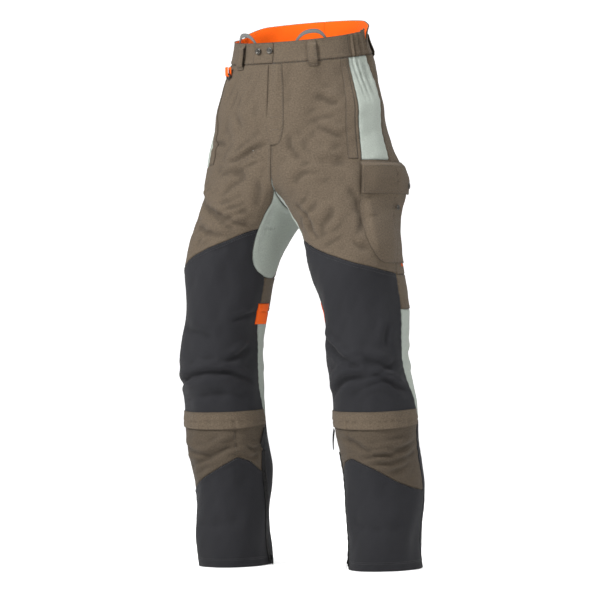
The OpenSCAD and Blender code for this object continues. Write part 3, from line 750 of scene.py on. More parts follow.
def topstitch(zone, side, colour, th, h, lift=0.0, tack=False):
    """Sews a row of stitches through (angle, height) points on the real cloth."""
    sizes = bpy.context.scene.trouser_sizes
    th, h = np.asarray(th, float), np.asarray(h, float)
    if th.ndim == 0 or h.ndim == 0:
        th, h = np.broadcast_arrays(np.atleast_1d(th), np.atleast_1d(h))
    flat = cloth(side, th, h)
    run = np.concatenate([[0], np.cumsum(np.linalg.norm(np.diff(flat, axis=0), axis=1))])
    pitch = sizes.stitch_long * (0.5 if tack else 1) + sizes.stitch_gap * (0.1 if tack else 1)
    count = max(1, int(run[-1] / pitch))
    at = (np.arange(count) + 0.5) * run[-1] / count
    half = sizes.stitch_long * (0.3 if tack else 0.5)
    lift = np.broadcast_to(lift, th.shape)

    def places(where):
        return skin(side, np.interp(where, run, th), np.interp(where, run, h),
                    np.interp(where, run, lift) + 0.15)
    start, end = places(at - half), places(at + half)
    up = outward(side, np.interp(at, run, th), np.interp(at, run, h))
    THREADS.setdefault((zone, side, colour), []).append((start, end, up))


def thread_objects():
    """Makes one object from all the stitches of each zone and colour."""
    verts, faces = stitch_template()
    wide = bpy.context.scene.trouser_sizes.thread_wide
    for (zone, side, colour), rows in THREADS.items():
        start, end, up = (np.concatenate([r[k] for r in rows]) for k in range(3))
        along = end - start
        across = np.cross(along, up)
        across /= np.maximum(np.linalg.norm(across, axis=1, keepdims=True), 1e-9)
        every = ((start + end)[:, None] / 2 + verts[None, :, :1] * along[:, None]
                 + verts[None, :, 1:2] * across[:, None] * wide
                 + verts[None, :, 2:] * up[:, None] * wide * 0.8)
        n = len(verts)
        lists = [[k + n * i for k in f] for i in range(len(start)) for f in faces]
        leg = SIDE_NAME.get(side, "both")
        mesh = bpy.data.meshes.new(f"stitching_{zone}_{leg}_{colour}")
        mesh.from_pydata(every.reshape(-1, 3).tolist(), [], lists)
        mesh.shade_smooth()
        mesh.materials.append(material(f"{colour}_thread"))
        obj = bpy.data.objects.new(mesh.name, mesh)
        bpy.context.scene.collection.objects.link(obj)
        fix(obj, zone)


# ---------- materials ----------

class Paint:
    """Small helper that wires a material's nodes."""

    def __init__(self, name):
        self.material = bpy.data.materials.new(name)
        self.material.use_nodes = True
        self.tree = self.material.node_tree
        self.shader = self.tree.nodes["Principled BSDF"]

    def node(self, kind, **values):
        """Adds a node and sets its properties or sockets."""
        made = self.tree.nodes.new(kind)
        for key, value in values.items():
            if hasattr(made, key):
                setattr(made, key, value)
            else:
                made.inputs[key.replace("_", " ")].default_value = value
        return made

    def link(self, source, target):
        """Joins two sockets."""
        self.tree.links.new(source, target)
        return target

    def math(self, operation, a, b=None):
        """Adds a math node and gives its result."""
        made = self.tree.nodes.new("ShaderNodeMath")
        made.operation = operation
        for socket, value in zip(made.inputs, (a, b)):
            if value is None:
                continue
            if isinstance(value, (int, float)):
                socket.default_value = value
            else:
                self.link(value, socket)
        return made.outputs[0]

    def blend(self, factor, a, b):
        """Mixes two colours."""
        made = self.tree.nodes.new("ShaderNodeMix")
        made.data_type = "RGBA"
        for socket, value in ((made.inputs["Factor"], factor), (made.inputs["A"], a),
                              (made.inputs["B"], b)):
            if isinstance(value, (int, float)):
                socket.default_value = value
            elif isinstance(value, tuple):
                socket.default_value = value
            else:
                self.link(value, socket)
        return made.outputs["Result"]

    def bump(self, height, depth, strength=1.0):
        """Raises the surface by a height between 0 and 1, times a depth in metres."""
        made = self.tree.nodes.new("ShaderNodeBump")
        made.inputs["Strength"].default_value = strength
        made.inputs["Distance"].default_value = depth
        self.link(height, made.inputs["Height"])
        self.link(made.outputs[0], self.shader.inputs["Normal"])


def shade(colour, factor):
    """A colour made lighter or darker."""
    return tuple(min(1.0, c * factor) for c in colour[:3]) + (1.0,)


def woven(name, colour, pitch, weave, rough=0.84, sheen=0.05, depth=0.0003, mottle=0.16,
          slub=0.0):
    """Cloth: threads crossing at a pitch in metres, mottled, with painted shade down in its seams
    and creases.
    """
    p = Paint(name)
    uv = p.node("ShaderNodeUVMap", uv_map="cloth")
    split = p.node("ShaderNodeSeparateXYZ")
    p.link(uv.outputs[0], split.inputs[0])
    turn = 2 * math.pi / pitch
    x, y = p.math("MULTIPLY", split.outputs[0], turn), p.math("MULTIPLY", split.outputs[1], turn)
    if weave == "twill":
        threads = p.math("SINE", p.math("ADD", x, y))
        cross = p.math("SINE", p.math("MULTIPLY", p.math("SUBTRACT", x, y), 2.0))
        height = p.math("ADD", threads, p.math("MULTIPLY", cross, 0.35))
    elif weave == "rib":
        height = p.math("ADD", p.math("SINE", x), p.math("MULTIPLY", p.math("SINE", y), 0.3))
    else:
        height = p.math("MULTIPLY", p.math("SINE", x), p.math("SINE", y))
    height = p.math("ADD", p.math("MULTIPLY", height, 0.25), 0.5)
    place = p.node("ShaderNodeTexCoord")
    broad = p.node("ShaderNodeTexNoise", Scale=11.0, Detail=8.0, Roughness=0.72)
    p.link(place.outputs["Object"], broad.inputs["Vector"])
    fine = p.node("ShaderNodeTexNoise", Scale=330.0, Detail=3.0, Roughness=0.65)
    stretch = p.node("ShaderNodeMapping")
    stretch.inputs["Scale"].default_value = (1.0, 1.0 + 5.0 * slub, 1.0)
    p.link(uv.outputs[0], stretch.inputs["Vector"])
    p.link(stretch.outputs[0], fine.inputs["Vector"])
    tone = p.math("ADD", p.math("MULTIPLY", broad.outputs["Fac"], 0.4),
                  p.math("MULTIPLY", fine.outputs["Fac"], 2.0))
    tone = p.math("SUBTRACT", tone, 0.7)
    tone = p.math("ADD", tone, p.math("MULTIPLY", p.math("SUBTRACT", height, 0.5), 0.5))
    base = p.blend(tone, shade(colour, 1 - mottle), shade(colour, 1 + mottle))
    # Painted shade: down in seam grooves and creases the cloth darkens towards a third of its colour
    seam = p.node("ShaderNodeAttribute", attribute_name="seam")
    p.link(p.blend(p.math("MULTIPLY", seam.outputs["Fac"], 0.6), base, shade(colour, 0.35)),
           p.shader.inputs["Base Color"])
    roughness = p.math("ADD", rough - 0.06, p.math("MULTIPLY", fine.outputs["Fac"], 0.12))
    p.link(roughness, p.shader.inputs["Roughness"])
    p.shader.inputs["Sheen Weight"].default_value = sheen
    p.shader.inputs["Sheen Roughness"].default_value = 0.5
    p.shader.inputs["Specular IOR Level"].default_value = 0.25
    p.bump(p.math("ADD", height, p.math("MULTIPLY", fine.outputs["Fac"], 0.8)), depth)
    return p.material


def thread(name, colour):
    """Sewing thread."""
    p = Paint(name)
    place = p.node("ShaderNodeTexCoord")
    fine = p.node("ShaderNodeTexNoise", Scale=900.0, Detail=1.0)
    p.link(place.outputs["Object"], fine.inputs["Vector"])
    p.link(p.blend(fine.outputs["Fac"], shade(colour, 0.8), shade(colour, 1.2)),
           p.shader.inputs["Base Color"])
    p.shader.inputs["Roughness"].default_value = 0.6
    p.shader.inputs["Sheen Weight"].default_value = 0.2
    return p.material


def metal(name, colour, rough):
    """Worn metal."""
    p = Paint(name)
    place = p.node("ShaderNodeTexCoord")
    fine = p.node("ShaderNodeTexNoise", Scale=700.0, Detail=3.0)
    broad = p.node("ShaderNodeTexNoise", Scale=140.0, Detail=2.0)
    for noise in (fine, broad):
        p.link(place.outputs["Object"], noise.inputs["Vector"])
    p.link(p.blend(broad.outputs["Fac"], shade(colour, 0.75), shade(colour, 1.2)),
           p.shader.inputs["Base Color"])
    p.link(p.math("ADD", rough - 0.1, p.math("MULTIPLY", fine.outputs["Fac"], 0.2)),
           p.shader.inputs["Roughness"])
    p.shader.inputs["Metallic"].default_value = 0.9
    p.bump(fine.outputs["Fac"], 0.00003)
    return p.material


def moulded(name, colour, rough, scale=400.0, depth=0.00008):
    """Plastic or foam with a fine grain."""
    p = Paint(name)
    place = p.node("ShaderNodeTexCoord")
    grain = p.node("ShaderNodeTexNoise", Scale=scale, Detail=3.0)
    p.link(place.outputs["Object"], grain.inputs["Vector"])
    p.link(p.blend(grain.outputs["Fac"], shade(colour, 0.8), shade(colour, 1.25)),
           p.shader.inputs["Base Color"])
    p.link(p.math("ADD", rough - 0.08, p.math("MULTIPLY", grain.outputs["Fac"], 0.16)),
           p.shader.inputs["Roughness"])
    p.bump(grain.outputs["Fac"], depth)
    return p.material


MATERIALS = {}


def material(name):
    """Each finish is made once, when the first piece asks for it."""
    if name in MATERIALS:
        return MATERIALS[name]
    c = bpy.context.scene.trouser_colours
    makers = {
        "brown_twill": lambda: woven("brown_twill", c.brown, 0.0011, "twill", mottle=0.34),
        # a darker copy of the brown twill for the upper shin: painted shade
        "shin_twill_painted_shade": lambda: woven("shin_twill_painted_shade", shade(c.brown, 0.66), 0.0011, "twill",
                                    mottle=0.34),
        "charcoal_weave": lambda: woven("charcoal_weave", c.charcoal, 0.0014, "plain", slub=1.0,
                                        mottle=0.4, depth=0.0003),
        "stretch_weave": lambda: woven("stretch_weave", c.stretch, 0.0009, "plain", mottle=0.15,
                                       sheen=0.1, depth=0.00012),
        "orange_lining": lambda: woven("orange_lining", c.orange, 0.0010, "plain", mottle=0.08),
        "orange_webbing": lambda: woven("orange_webbing", c.orange, 0.0017, "rib", mottle=0.12,
                                        depth=0.0004),
        "grey_tape": lambda: woven("grey_tape", c.tape, 0.0015, "rib", mottle=0.18, depth=0.0004),
        "black_webbing": lambda: woven("black_webbing", c.black, 0.0018, "rib", mottle=0.25,
                                       depth=0.0004),
        "zip_tape": lambda: woven("zip_tape", c.black, 0.0012, "rib", mottle=0.2),
        "mesh_lining": lambda: woven("mesh_lining", c.lining, 0.0022, "plain", mottle=0.1,
                                     depth=0.0005),
        "insert_fibre": lambda: woven("insert_fibre", c.insert, 0.0045, "plain", mottle=0.12,
                                      depth=0.0009),
        # the brown thread is darkened far below the cloth: partly its own colour, partly painted
        # seam shade
        "brown_thread": lambda: thread("brown_thread", shade(c.brown, 0.36)),
        "charcoal_thread": lambda: thread("charcoal_thread", shade(c.charcoal, 0.75)),
        "orange_thread": lambda: thread("orange_thread", shade(c.orange, 0.8)),
        "grey_thread": lambda: thread("grey_thread", shade(c.stretch, 0.75)),
        "stud_metal": lambda: metal("stud_metal", c.metal, 0.38),
        "zip_metal": lambda: metal("zip_metal", shade(c.black, 1.3), 0.42),
        "black_plastic": lambda: moulded("black_plastic", c.black, 0.45),
        "foam": lambda: moulded("foam", c.foam, 0.85, 260.0, 0.0004),
    }
    MATERIALS[name] = makers[name]()
    return MATERIALS[name]


# ---------- waist ----------

def waist_flare(u, v, d):
    """The back of the waistband springs outward beside the elastic."""
    return 9 * np.exp(-((u - 0.03) / 0.16) ** 2) * v**1.6


def waist_top(th):
    """The upper edge of the waistband, higher over the back."""
    return WAIST_H + 15 * smooth((th - 88) / 40)


def build_waist():
    """The waistband with its elastic sides, raised back, lining and front tab."""
    for side in (LEFT, RIGHT):
        leg = SIDE_NAME[side]
        front = Cut(f"waistband_front_{leg}")
        front.lay(side, level(0), level(ELASTIC_FROM), level(SEAM_H), level(WAIST_H),
                  fell={"low": (0.5, 5)})
        front.sew(material("brown_twill"), 2.0, "hips",
                  [f"waistband_front_{leg}"], 0.6)
        elastic = Cut(f"waist_elastic_{leg}")
        elastic.lay(side, level(ELASTIC_FROM), level(ELASTIC_TO), level(SEAM_H), waist_top,
                    step=2.2, fell={"low": (0.5, 5)})
        elastic.sew(material("brown_twill"), 2.0, "hips",
                    [f"waist_elastic_{leg}"], 0.6)
        topstitch("hips", side, "brown", np.linspace(1, 179, 150), np.full(150, SEAM_H + 2.2), 0.4)
        th = np.linspace(1, 179, 150)
        topstitch("hips", side, "brown", th, waist_top(th) - 5.0)
    back = Cut("waistband_back")
    lining = Cut("waistband_lining")
    for side in (LEFT, RIGHT):
        back.lay(side, level(ELASTIC_TO), level(180), level(SEAM_H), waist_top,
                 proud=waist_flare, fell={"low": (0.5, 5)})
        lining.lay(side, level(6), level(ELASTIC_TO), level(SEAM_H),
                   lambda th: waist_top(th) - 0.6, proud=-2.2, step=3, paint_seam_shade=False)
        lining.lay(side, level(ELASTIC_TO), level(180), level(SEAM_H),
                   lambda th: waist_top(th) - 0.6,
                   proud=lambda u, v, d: waist_flare(u, v, d) - 2.2, paint_seam_shade=False)
    tab = Cut("waist_tab")
    tab.lay(RIGHT, level(-1), lambda h: 18.5 - 1.6 * ((h - SEAM_H - 20) / 19) ** 6,
            level(SEAM_H + 1), level(WAIST_H - 0.4), proud=overlay(1.6, ("right", "low")), step=3)
    tab.sew(material("brown_twill"), 1.4, "hips", (), 0.4)
    topstitch("hips", RIGHT, "brown", np.full(16, 17.2), np.linspace(SEAM_H + 4, WAIST_H - 4, 16),
              1.7)
    back.sew(material("brown_twill"), 2.0, "hips", ["waistband_back"], 0.6)
    lining.sew(material("orange_lining"), 0.9, "hips", ["waistband_lining"])


def belt_gap(v):
    """How far a belt loop bows out at a share v of its height."""
    return 6 * np.clip(3.2 * np.sin(np.pi * v) - 0.75, 0, 1) ** 1.3


def build_belt_loops():
    """Five loops of folded cloth, each with two rows of stitches and a tack."""
    cut = Cut("belt_loops")
    half = BELT_LOOP_HALF * WAIST_DEGREES

    def bow(u, v, d):
        out = 2.3 + belt_gap(v)
        out = out - 1.6 * (1 - smooth(d["low"] / 1.2)) - 1.6 * (1 - smooth(d["high"] / 1.2))
        ridge = 0.45 * np.exp(-((u - 0.5) / 0.16) ** 2)
        return out + ridge - 0.9 * (1 - smooth(np.minimum(d["left"], d["right"]) / 1.0))
    for side, th in [(s, a) for s in (LEFT, RIGHT) for a in BELT_LOOP_AT] + [(LEFT, 180)]:
        low, high = SEAM_H - 10, WAIST_H - 0.5
        cut.lay(side, level(th - half), level(th + half), level(low), level(high), proud=bow,
                cols=12, rows=40)
        for k in (-1, 1):
            h = np.linspace(low + 2, high - 3, 30)
            lift = 2.4 + belt_gap((h - low) / (high - low))
            topstitch("hips", side, "brown", np.full(30, th + k * half * 0.62), h, lift)
        tack = np.linspace(th - half * 0.8, th + half * 0.8, 8)
        topstitch("hips", side, "brown", tack, np.full(8, low + 3.0), 2.5, tack=True)
        topstitch("hips", side, "brown", tack, np.full(8, low + 4.2), 2.5, tack=True)
    cut.sew(material("brown_twill"), 1.5, "hips", ["belt_loops"], 0.4)


def build_brace_loops():
    """Two arches of tape that stand above the waistband, sewn in behind it."""
    cut = Cut("brace_loops")
    half = BRACE_HALF * WAIST_DEGREES

    def arch(th):
        return WAIST_H + 19 - 33 * (np.abs(th - BRACE_AT) / half) ** 2.6
    for side in (LEFT, RIGHT):
        cut.lay(side, level(BRACE_AT - half), level(BRACE_AT + half), lambda th: arch(th) - 8, arch,
                proud=lambda u, v, d: -5.2 + 1.2 * np.sin(np.pi * u), cols=40, rows=5)
    cut.sew(material("grey_tape"), 1.2, "hips", ["brace_loops"], 0.3)


def plan_frame(side, th, h, off):
    """Matrix whose -Y points out of the smooth cloth and +X along growing angles."""
    out = Vector(outward(side, np.array([float(th)]), np.array([float(h)]))[0])
    place = Vector(cloth(side, np.array([float(th)]), np.array([float(h)]), off)[0])
    turn = Matrix.Rotation(math.atan2(out.x, -out.y), 4, "Z")
    return Matrix.Translation(place) @ turn @ Matrix.Diagonal((side, 1, 1, 1))


def spun(profile, matrix, steps=40):
    """A bmesh of an outline of (radius, outward) millimetres spun about the outward axis."""
    bm = bmesh.new()
    verts = [bm.verts.new((r * MM, -out * MM, 0)) for r, out in profile]
    edges = [bm.edges.new(pair) for pair in zip(verts, verts[1:])]
    bmesh.ops.spin(bm, geom=verts + edges, cent=(0, 0, 0), axis=(0, 1, 0), angle=2 * math.pi,
                   steps=steps)
    bmesh.ops.remove_doubles(bm, verts=bm.verts, dist=0.00001)
    bmesh.ops.transform(bm, matrix=matrix, verts=bm.verts)
    bmesh.ops.recalc_face_normals(bm, faces=bm.faces)
    return bm


def flat_uv(bm):
    """Lays the cloth's UV flat over a strap, one unit to the metre."""
    uv = bm.loops.layers.uv.new("cloth")
    for f in bm.faces:
        for loop in f.loops:
            loop[uv].uv = (loop.vert.co.x, loop.vert.co.z)


def together(parts):
    """One bmesh made of several, each of which is freed."""
    bm = bmesh.new()
    for part in parts:
        mesh = bpy.data.meshes.new("part")
        part.to_mesh(mesh)
        part.free()
        bm.from_mesh(mesh)
        bpy.data.meshes.remove(mesh)
    return bm


STUD_PROFILE = [(0, 1.0), (1.4, 1.0), (2.2, 0.8), (2.7, 1.3), (3.6, 2.1), (4.6, 2.4),
                (5.5, 2.1), (6.1, 1.4), (6.2, 0.5), (6.0, -0.4), (0, -0.4)]


def build_studs():
    """Two studs on the waistband, one on the flap and one on the pocket."""
    bm = together([spun(STUD_PROFILE, plan_frame(RIGHT, 2 + k * 10.5, SEAM_H + 24.8, 2.6))
                   for k in (0, 1)])
    fix(new_object("press_studs", bm, material("stud_metal")), "hips",
        ["press_studs"])
    bm = spun(STUD_PROFILE, plan_frame(LEFT, 108, FLAP_TOP - FLAP_HEIGHT + 17, FLAP_PROUD + 1))
    fix(new_object("flap_stud", bm, material("stud_metal")), "cargo_flap",
        ["flap_stud"])
    bm = spun([(r * 0.8, out * 0.6) for r, out in STUD_PROFILE],
              plan_frame(LEFT, 92, CARGO_TOP - FLAP_HEIGHT - 12, 2.3 + CARGO_DEPTH + 0.3))
    fix(new_object("pocket_stud", bm, material("stud_metal")), "thigh_left",
        ["pocket_stud"])


def build_ring():
    """A folded strap of webbing that holds a D-shaped ring on the right hip."""
    matrix = plan_frame(RIGHT, 47, SEAM_H - 16, 7)
    bm = bmesh.new()
    eye, thick, strap = 2.6, 1.5, 14.0
    outline = [(eye * math.cos(a), eye * math.sin(a)) for a in np.linspace(math.pi, 2 * math.pi, 13)]
    outline = [(-eye, strap)] + outline + [(eye, strap)]
    verts = [bm.verts.new((-6 * MM, y * MM, z * MM)) for y, z in outline]
    edges = [bm.edges.new(pair) for pair in zip(verts, verts[1:])]
    made = bmesh.ops.extrude_edge_only(bm, edges=edges)
    moved = [g for g in made["geom"] if isinstance(g, bmesh.types.BMVert)]
    bmesh.ops.translate(bm, verts=moved, vec=(12 * MM, 0, 0))
    bmesh.ops.subdivide_edges(bm, edges=[e for e in bm.edges if abs(e.verts[0].co.x
                              - e.verts[1].co.x) > 5 * MM], cuts=5, use_grid_fill=True)
    flat_uv(bm)
    bmesh.ops.transform(bm, matrix=matrix, verts=bm.verts)
    bmesh.ops.recalc_face_normals(bm, faces=bm.faces)
    obj = new_object("ring_loop", bm, material("orange_webbing"))
    thicken(obj, thick, 1, 0.35)
    fix(obj, "hips", ["ring_loop"])
    bm = bmesh.new()
    wire, radius = 1.5, 9.0
    bar = bmesh.ops.create_cone(bm, cap_ends=True, segments=20, radius1=wire * MM,
                                radius2=wire * MM, depth=2 * radius * MM)
    bmesh.ops.rotate(bm, verts=bar["verts"], cent=(0, 0, 0),
                     matrix=Matrix.Rotation(math.pi / 2, 3, "Y"))
    ring = bmesh.ops.create_circle(bm, segments=20, radius=wire * MM)
    bmesh.ops.translate(bm, verts=ring["verts"], vec=(radius * MM, 0, 0))
    edges = list({e for v in ring["verts"] for e in v.link_edges})
    bmesh.ops.spin(bm, geom=ring["verts"] + edges, cent=(0, 0, 0), axis=(0, 1, 0),
                   angle=math.pi, steps=36)
    bmesh.ops.recalc_face_normals(bm, faces=bm.faces)
    bmesh.ops.transform(bm, matrix=matrix, verts=bm.verts)
    if matrix.determinant() < 0:
        bmesh.ops.reverse_faces(bm, faces=bm.faces)
    fix(new_object("d_ring", bm, material("black_plastic")), "d_ring",
        ["d_ring"])


# ---------- fly ----------

def build_fly():
    """The placket with its curved stitching, the zip's tape and its slider."""
    wide = float(np.degrees(np.arcsin(24 / section(FLY_H)[1])))

    def stitched_edge(h):
        return wide * np.sqrt(np.clip((h - FLY_H + 26) / 44, 0.02, 1))

    def facing(u, v, d):
        lap = 1.9 * (0.25 + 0.75 * smooth(d["left"] / 1.2))
        return lap * (1 - smooth((u - 0.55) / 0.45)) + 0.05
    cut = Cut("fly_placket")
    cut.lay(LEFT, level(-3.6), stitched_edge, level(FLY_H - 25), level(SEAM_H), proud=facing,
            step=2.5, split=False)
    cut.sew(material("brown_twill"), 1.0, "hips", ["fly_placket"])
    h = np.linspace(FLY_H - 24, SEAM_H - 2, 60)
    for inset in (0.4, 1.0):
        topstitch("hips", LEFT, "brown", stitched_edge(h) - inset, h, 0.5)
    for at in (FLY_H + 4, FLY_H + 28):
        topstitch("hips", LEFT, "brown", np.linspace(-1, 4, 5), np.full(5, at), 2.0, tack=True)
    tape = Cut("fly_zip_tape")
    tape.lay(LEFT, level(-5), level(5), level(FLY_H + 2), level(SEAM_H - 4), proud=-3.4,
             cols=6, rows=30, split=False)
    tape.sew(material("zip_tape"), 0.7, "hips", ["fly_zip_tape"])
    low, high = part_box("fly_zip_slider")
    slider_object("fly_zip_slider", "fly_slider", (low + high) / 2, Vector((0, -1, 0)),
                  Vector((0, 0.095, 1)), 0.45)


def slider_object(name, body, centre, out, up, depth=1.0):
    """A zip slider: a waisted body, a bridge and a pull with a rounded end."""
    up = up.normalized()
    out = (out - up * out.dot(up)).normalized()
    matrix = Matrix.Translation(centre) @ Matrix((out.cross(up), out, up)).transposed().to_4x4()
    bm = bmesh.new()
    body_block = bmesh.ops.create_cube(bm, size=1)
    bmesh.ops.scale(bm, verts=body_block["verts"], vec=(7.6 * MM, 1.5 * MM, 11 * MM))
    waist = [v for v in body_block["verts"] if v.co.z < 0]
    bmesh.ops.scale(bm, verts=waist, vec=(0.7, 1, 1))
    bridge = bmesh.ops.create_cube(bm, size=1)
    bmesh.ops.scale(bm, verts=bridge["verts"], vec=(2.4 * MM, 1.3 * MM, 7 * MM))
    bmesh.ops.translate(bm, verts=bridge["verts"], vec=(0, 1.2 * MM, 0.5 * MM))
    pull = bmesh.ops.create_cube(bm, size=1)
    bmesh.ops.scale(bm, verts=pull["verts"], vec=(4.6 * MM, 0.9 * MM, 16 * MM))
    bmesh.ops.translate(bm, verts=pull["verts"], vec=(0, 2.2 * MM, -6 * MM))
    bmesh.ops.bevel(bm, geom=list(bm.edges), offset=0.4 * MM, segments=2, profile=0.5,
                    affect="EDGES", material=-1)
    bmesh.ops.scale(bm, verts=bm.verts, vec=(1, depth, 1))
    bmesh.ops.transform(bm, matrix=matrix, verts=bm.verts)
    bmesh.ops.recalc_face_normals(bm, faces=bm.faces)
    fix(new_object(name, bm, material("zip_metal")), body, [name])


# ---------- upper panels ----------

def build_upper():
    """Front, side, seat and gusset panels, pocket welts and their stitches."""
    for side in (LEFT, RIGHT):
        leg = SIDE_NAME[side]
        front = Cut(f"front_panel_{leg}")
        front.lay_front(side)
        front.sew(material("brown_twill"), 1.6, "hip", [f"front_panel_{leg}"])
        stretch = Cut(f"side_stretch_{leg}")
        stretch.lay(side, side_front, side_back, level(POCKET_H), level(SEAM_H), step=3.0)
        stretch.sew(material("stretch_weave"), 1.4, "hip",
                    [f"side_stretch_{leg}"])
        seat = Cut(f"seat_panel_{leg}")
        seat.lay(side, seat_outer, back_middle, level(THIGH_H), level(SEAM_H),
                 fell={"left": (0.8, 7)})
        seat.sew(material("brown_twill"), 1.6, "hip", [f"seat_panel_{leg}"])
        gusset = Cut(f"gusset_{leg}")
        reach = 90 - float(middle_angle(GUSSET_H))
        gusset.lay(side, level(-90 - reach), level(-90 + reach), gusset_low, gusset_high,
                   cols=72, rows=44)
        gusset.sew(material("stretch_weave"), 1.4, "hip",
                   [f"gusset_{leg}"])
        welt = Cut(f"pocket_welt_{leg}")
        welt.lay(side, lambda h: side_front(h) - 11, lambda h: side_front(h) - 3,
                 level(POCKET_H + 2), level(SEAM_H - 1), proud=overlay(1.7), step=4)
        welt.sew(material("brown_twill"), 1.2, "hip", [f"pocket_welt_{leg}"])
        for inset in (-10.2, -3.6):
            h = np.linspace(POCKET_H + 4, SEAM_H - 3, 60)
            topstitch("hip", side, "brown", side_front(h) + inset, h, 1.8)
        for up in (4, 16):
            at = POCKET_H + up
            th = np.linspace(side_front(at) - 10.2, side_front(at) - 0.8, 12)
            topstitch("hip", side, "brown", th, np.full(12, at), 1.8)
        h = np.linspace(POCKET_H, SEAM_H - 2, 60)
        for inset in (0.8, 3.4):
            topstitch("hip", side, "brown", side_back(h) + inset, h, 0.9)
        h = np.linspace(THIGH_H + 4, POCKET_H, 60)
        for inset in (0.8, 3.4):
            topstitch("hip", side, "brown", outer_seam(h) + inset, h, 0.9)
        h = np.linspace(GUSSET_H + 4, FLY_H - 26, 20)
        topstitch("hip", side, "brown", -middle_angle(h) + 1.2, h)
        h = np.linspace(GUSSET_H + 4, SEAM_H - 2, 60)
        for inset in (1.0, 3.2):
            topstitch("hip", side, "brown", back_middle(h) - inset, h)
        h = np.linspace(THIGH_H + 34, GUSSET_H, 50)
        topstitch("hip", side, "brown", inner_seam(h) + 1.2, h)
        h = np.linspace(THIGH_H + 6, GUSSET_H, 50)
        topstitch("hip", side, "brown", 180 - inner_seam(h) - 1.2, h)


def overlay(height, edges=("left", "right", "low", "high")):
    """Cloth that lies on other cloth, its edges turned down."""
    def proud(u, v, d):
        away = np.minimum.reduce([d[k] for k in edges])
        return height * (0.45 + 0.55 * smooth(away / 1.4))
    return proud


# ---------- cargo pocket ----------

def build_cargo():
    """The bellows pocket on the left thigh, its flap, stitches and tag."""
    def pouch(u, v, d):
        full = smooth(6.5 * u) * smooth(6.5 * (1 - u)) * smooth(5 * v + 0.05)
        sag = 0.8 + 0.2 * np.sin(np.pi * np.clip(1.25 * (1 - v), 0, 1))
        ripple = 0.5 * np.sin(9 * u + 5 * v) * np.sin(7 * v + 1)
        edge = 1.2 * smooth(np.minimum.reduce([d["left"], d["right"], d["low"]]) / 1.4)
        slim = 1 - 0.55 * smooth((u - 0.35) / 0.5)
        return 0.9 + edge + (CARGO_DEPTH - 1.5) * slim * full * sag + ripple * full
    cut = Cut("cargo_pocket")
    cut.lay(LEFT, CARGO_FRONT, level(CARGO_BACK), CARGO_LOW, level(CARGO_TOP), proud=pouch,
            step=3.0)
    cut.sew(material("brown_twill"), 1.3, "thigh_left", ["cargo_pocket"])

    def flap_lift(u, v, d):
        edge = smooth(np.minimum(d["left"], d["right"]) / 1.6) * smooth(d["low"] / 1.4)
        hinge = smooth((d["high"] + 0.5) / 9)
        slim = 1 - 0.42 * smooth((u - 0.3) / 0.5)
        lift = 2.0 + (FLAP_PROUD - 4.4) * slim * (0.15 + 0.85 * hinge) - 0.9 * (1 - edge)
        return lift + 0.5 * np.sin(8 * u + 1) * (1 - v) + 2.0 * smooth((u - 0.9) / 0.1) * (1 - v)
    flap = Cut("cargo_flap")
    flap.lay(LEFT, lambda h: CARGO_FRONT(h) - 1, level(CARGO_BACK + 3),
             level(FLAP_TOP - FLAP_HEIGHT), level(FLAP_TOP), proud=flap_lift, step=3.0)
    flap.sew(material("brown_twill"), 1.4, "flap", ["cargo_flap"], 0.4)

    def on_flap(th, h):
        d = {"left": (th - CARGO_FRONT(h) + 1) * girth(h), "right": (CARGO_BACK + 3 - th) * girth(h),
             "low": h - FLAP_TOP + FLAP_HEIGHT, "high": FLAP_TOP - h}
        u = (th - CARGO_FRONT(h) + 1) / (CARGO_BACK + 4 - CARGO_FRONT(h))
        return flap_lift(u, d["low"] / FLAP_HEIGHT, d)
    for h0 in (2.2, 6.8, FLAP_HEIGHT - 2.2, FLAP_HEIGHT - 8.5):
        th = np.linspace(57, CARGO_BACK + 2, 60)
        h = np.full(60, FLAP_TOP - FLAP_HEIGHT + h0)
        topstitch("flap", LEFT, "brown", th, h, on_flap(th, h))
    for edge, sign in ((CARGO_FRONT, 1), (level(CARGO_BACK + 3), -1)):
        h = np.linspace(FLAP_TOP - FLAP_HEIGHT + 2, FLAP_TOP - 2, 24)
        th = edge(h) + sign * 1.2
        topstitch("flap", LEFT, "brown", th, h, on_flap(th, h))
    h = np.linspace(640, CARGO_TOP - 2, 50)
    for inset in (0.9, 2.6):
        topstitch("thigh_left", LEFT, "brown", CARGO_FRONT(h) + inset, h, 2.0 + inset * 0.6)
    th = np.linspace(47, CARGO_BACK - 1, 60)
    topstitch("thigh_left", LEFT, "brown", th, CARGO_LOW(th) + 2.2, 2.4)
    tag = Cut("pocket_tag")
    tag.lay(LEFT, level(104), level(108), level(574), level(584), proud=0.6, cols=4, rows=5)
    tag.sew(material("orange_webbing"), 0.8, "thigh_left")


# ---------- knee ----------

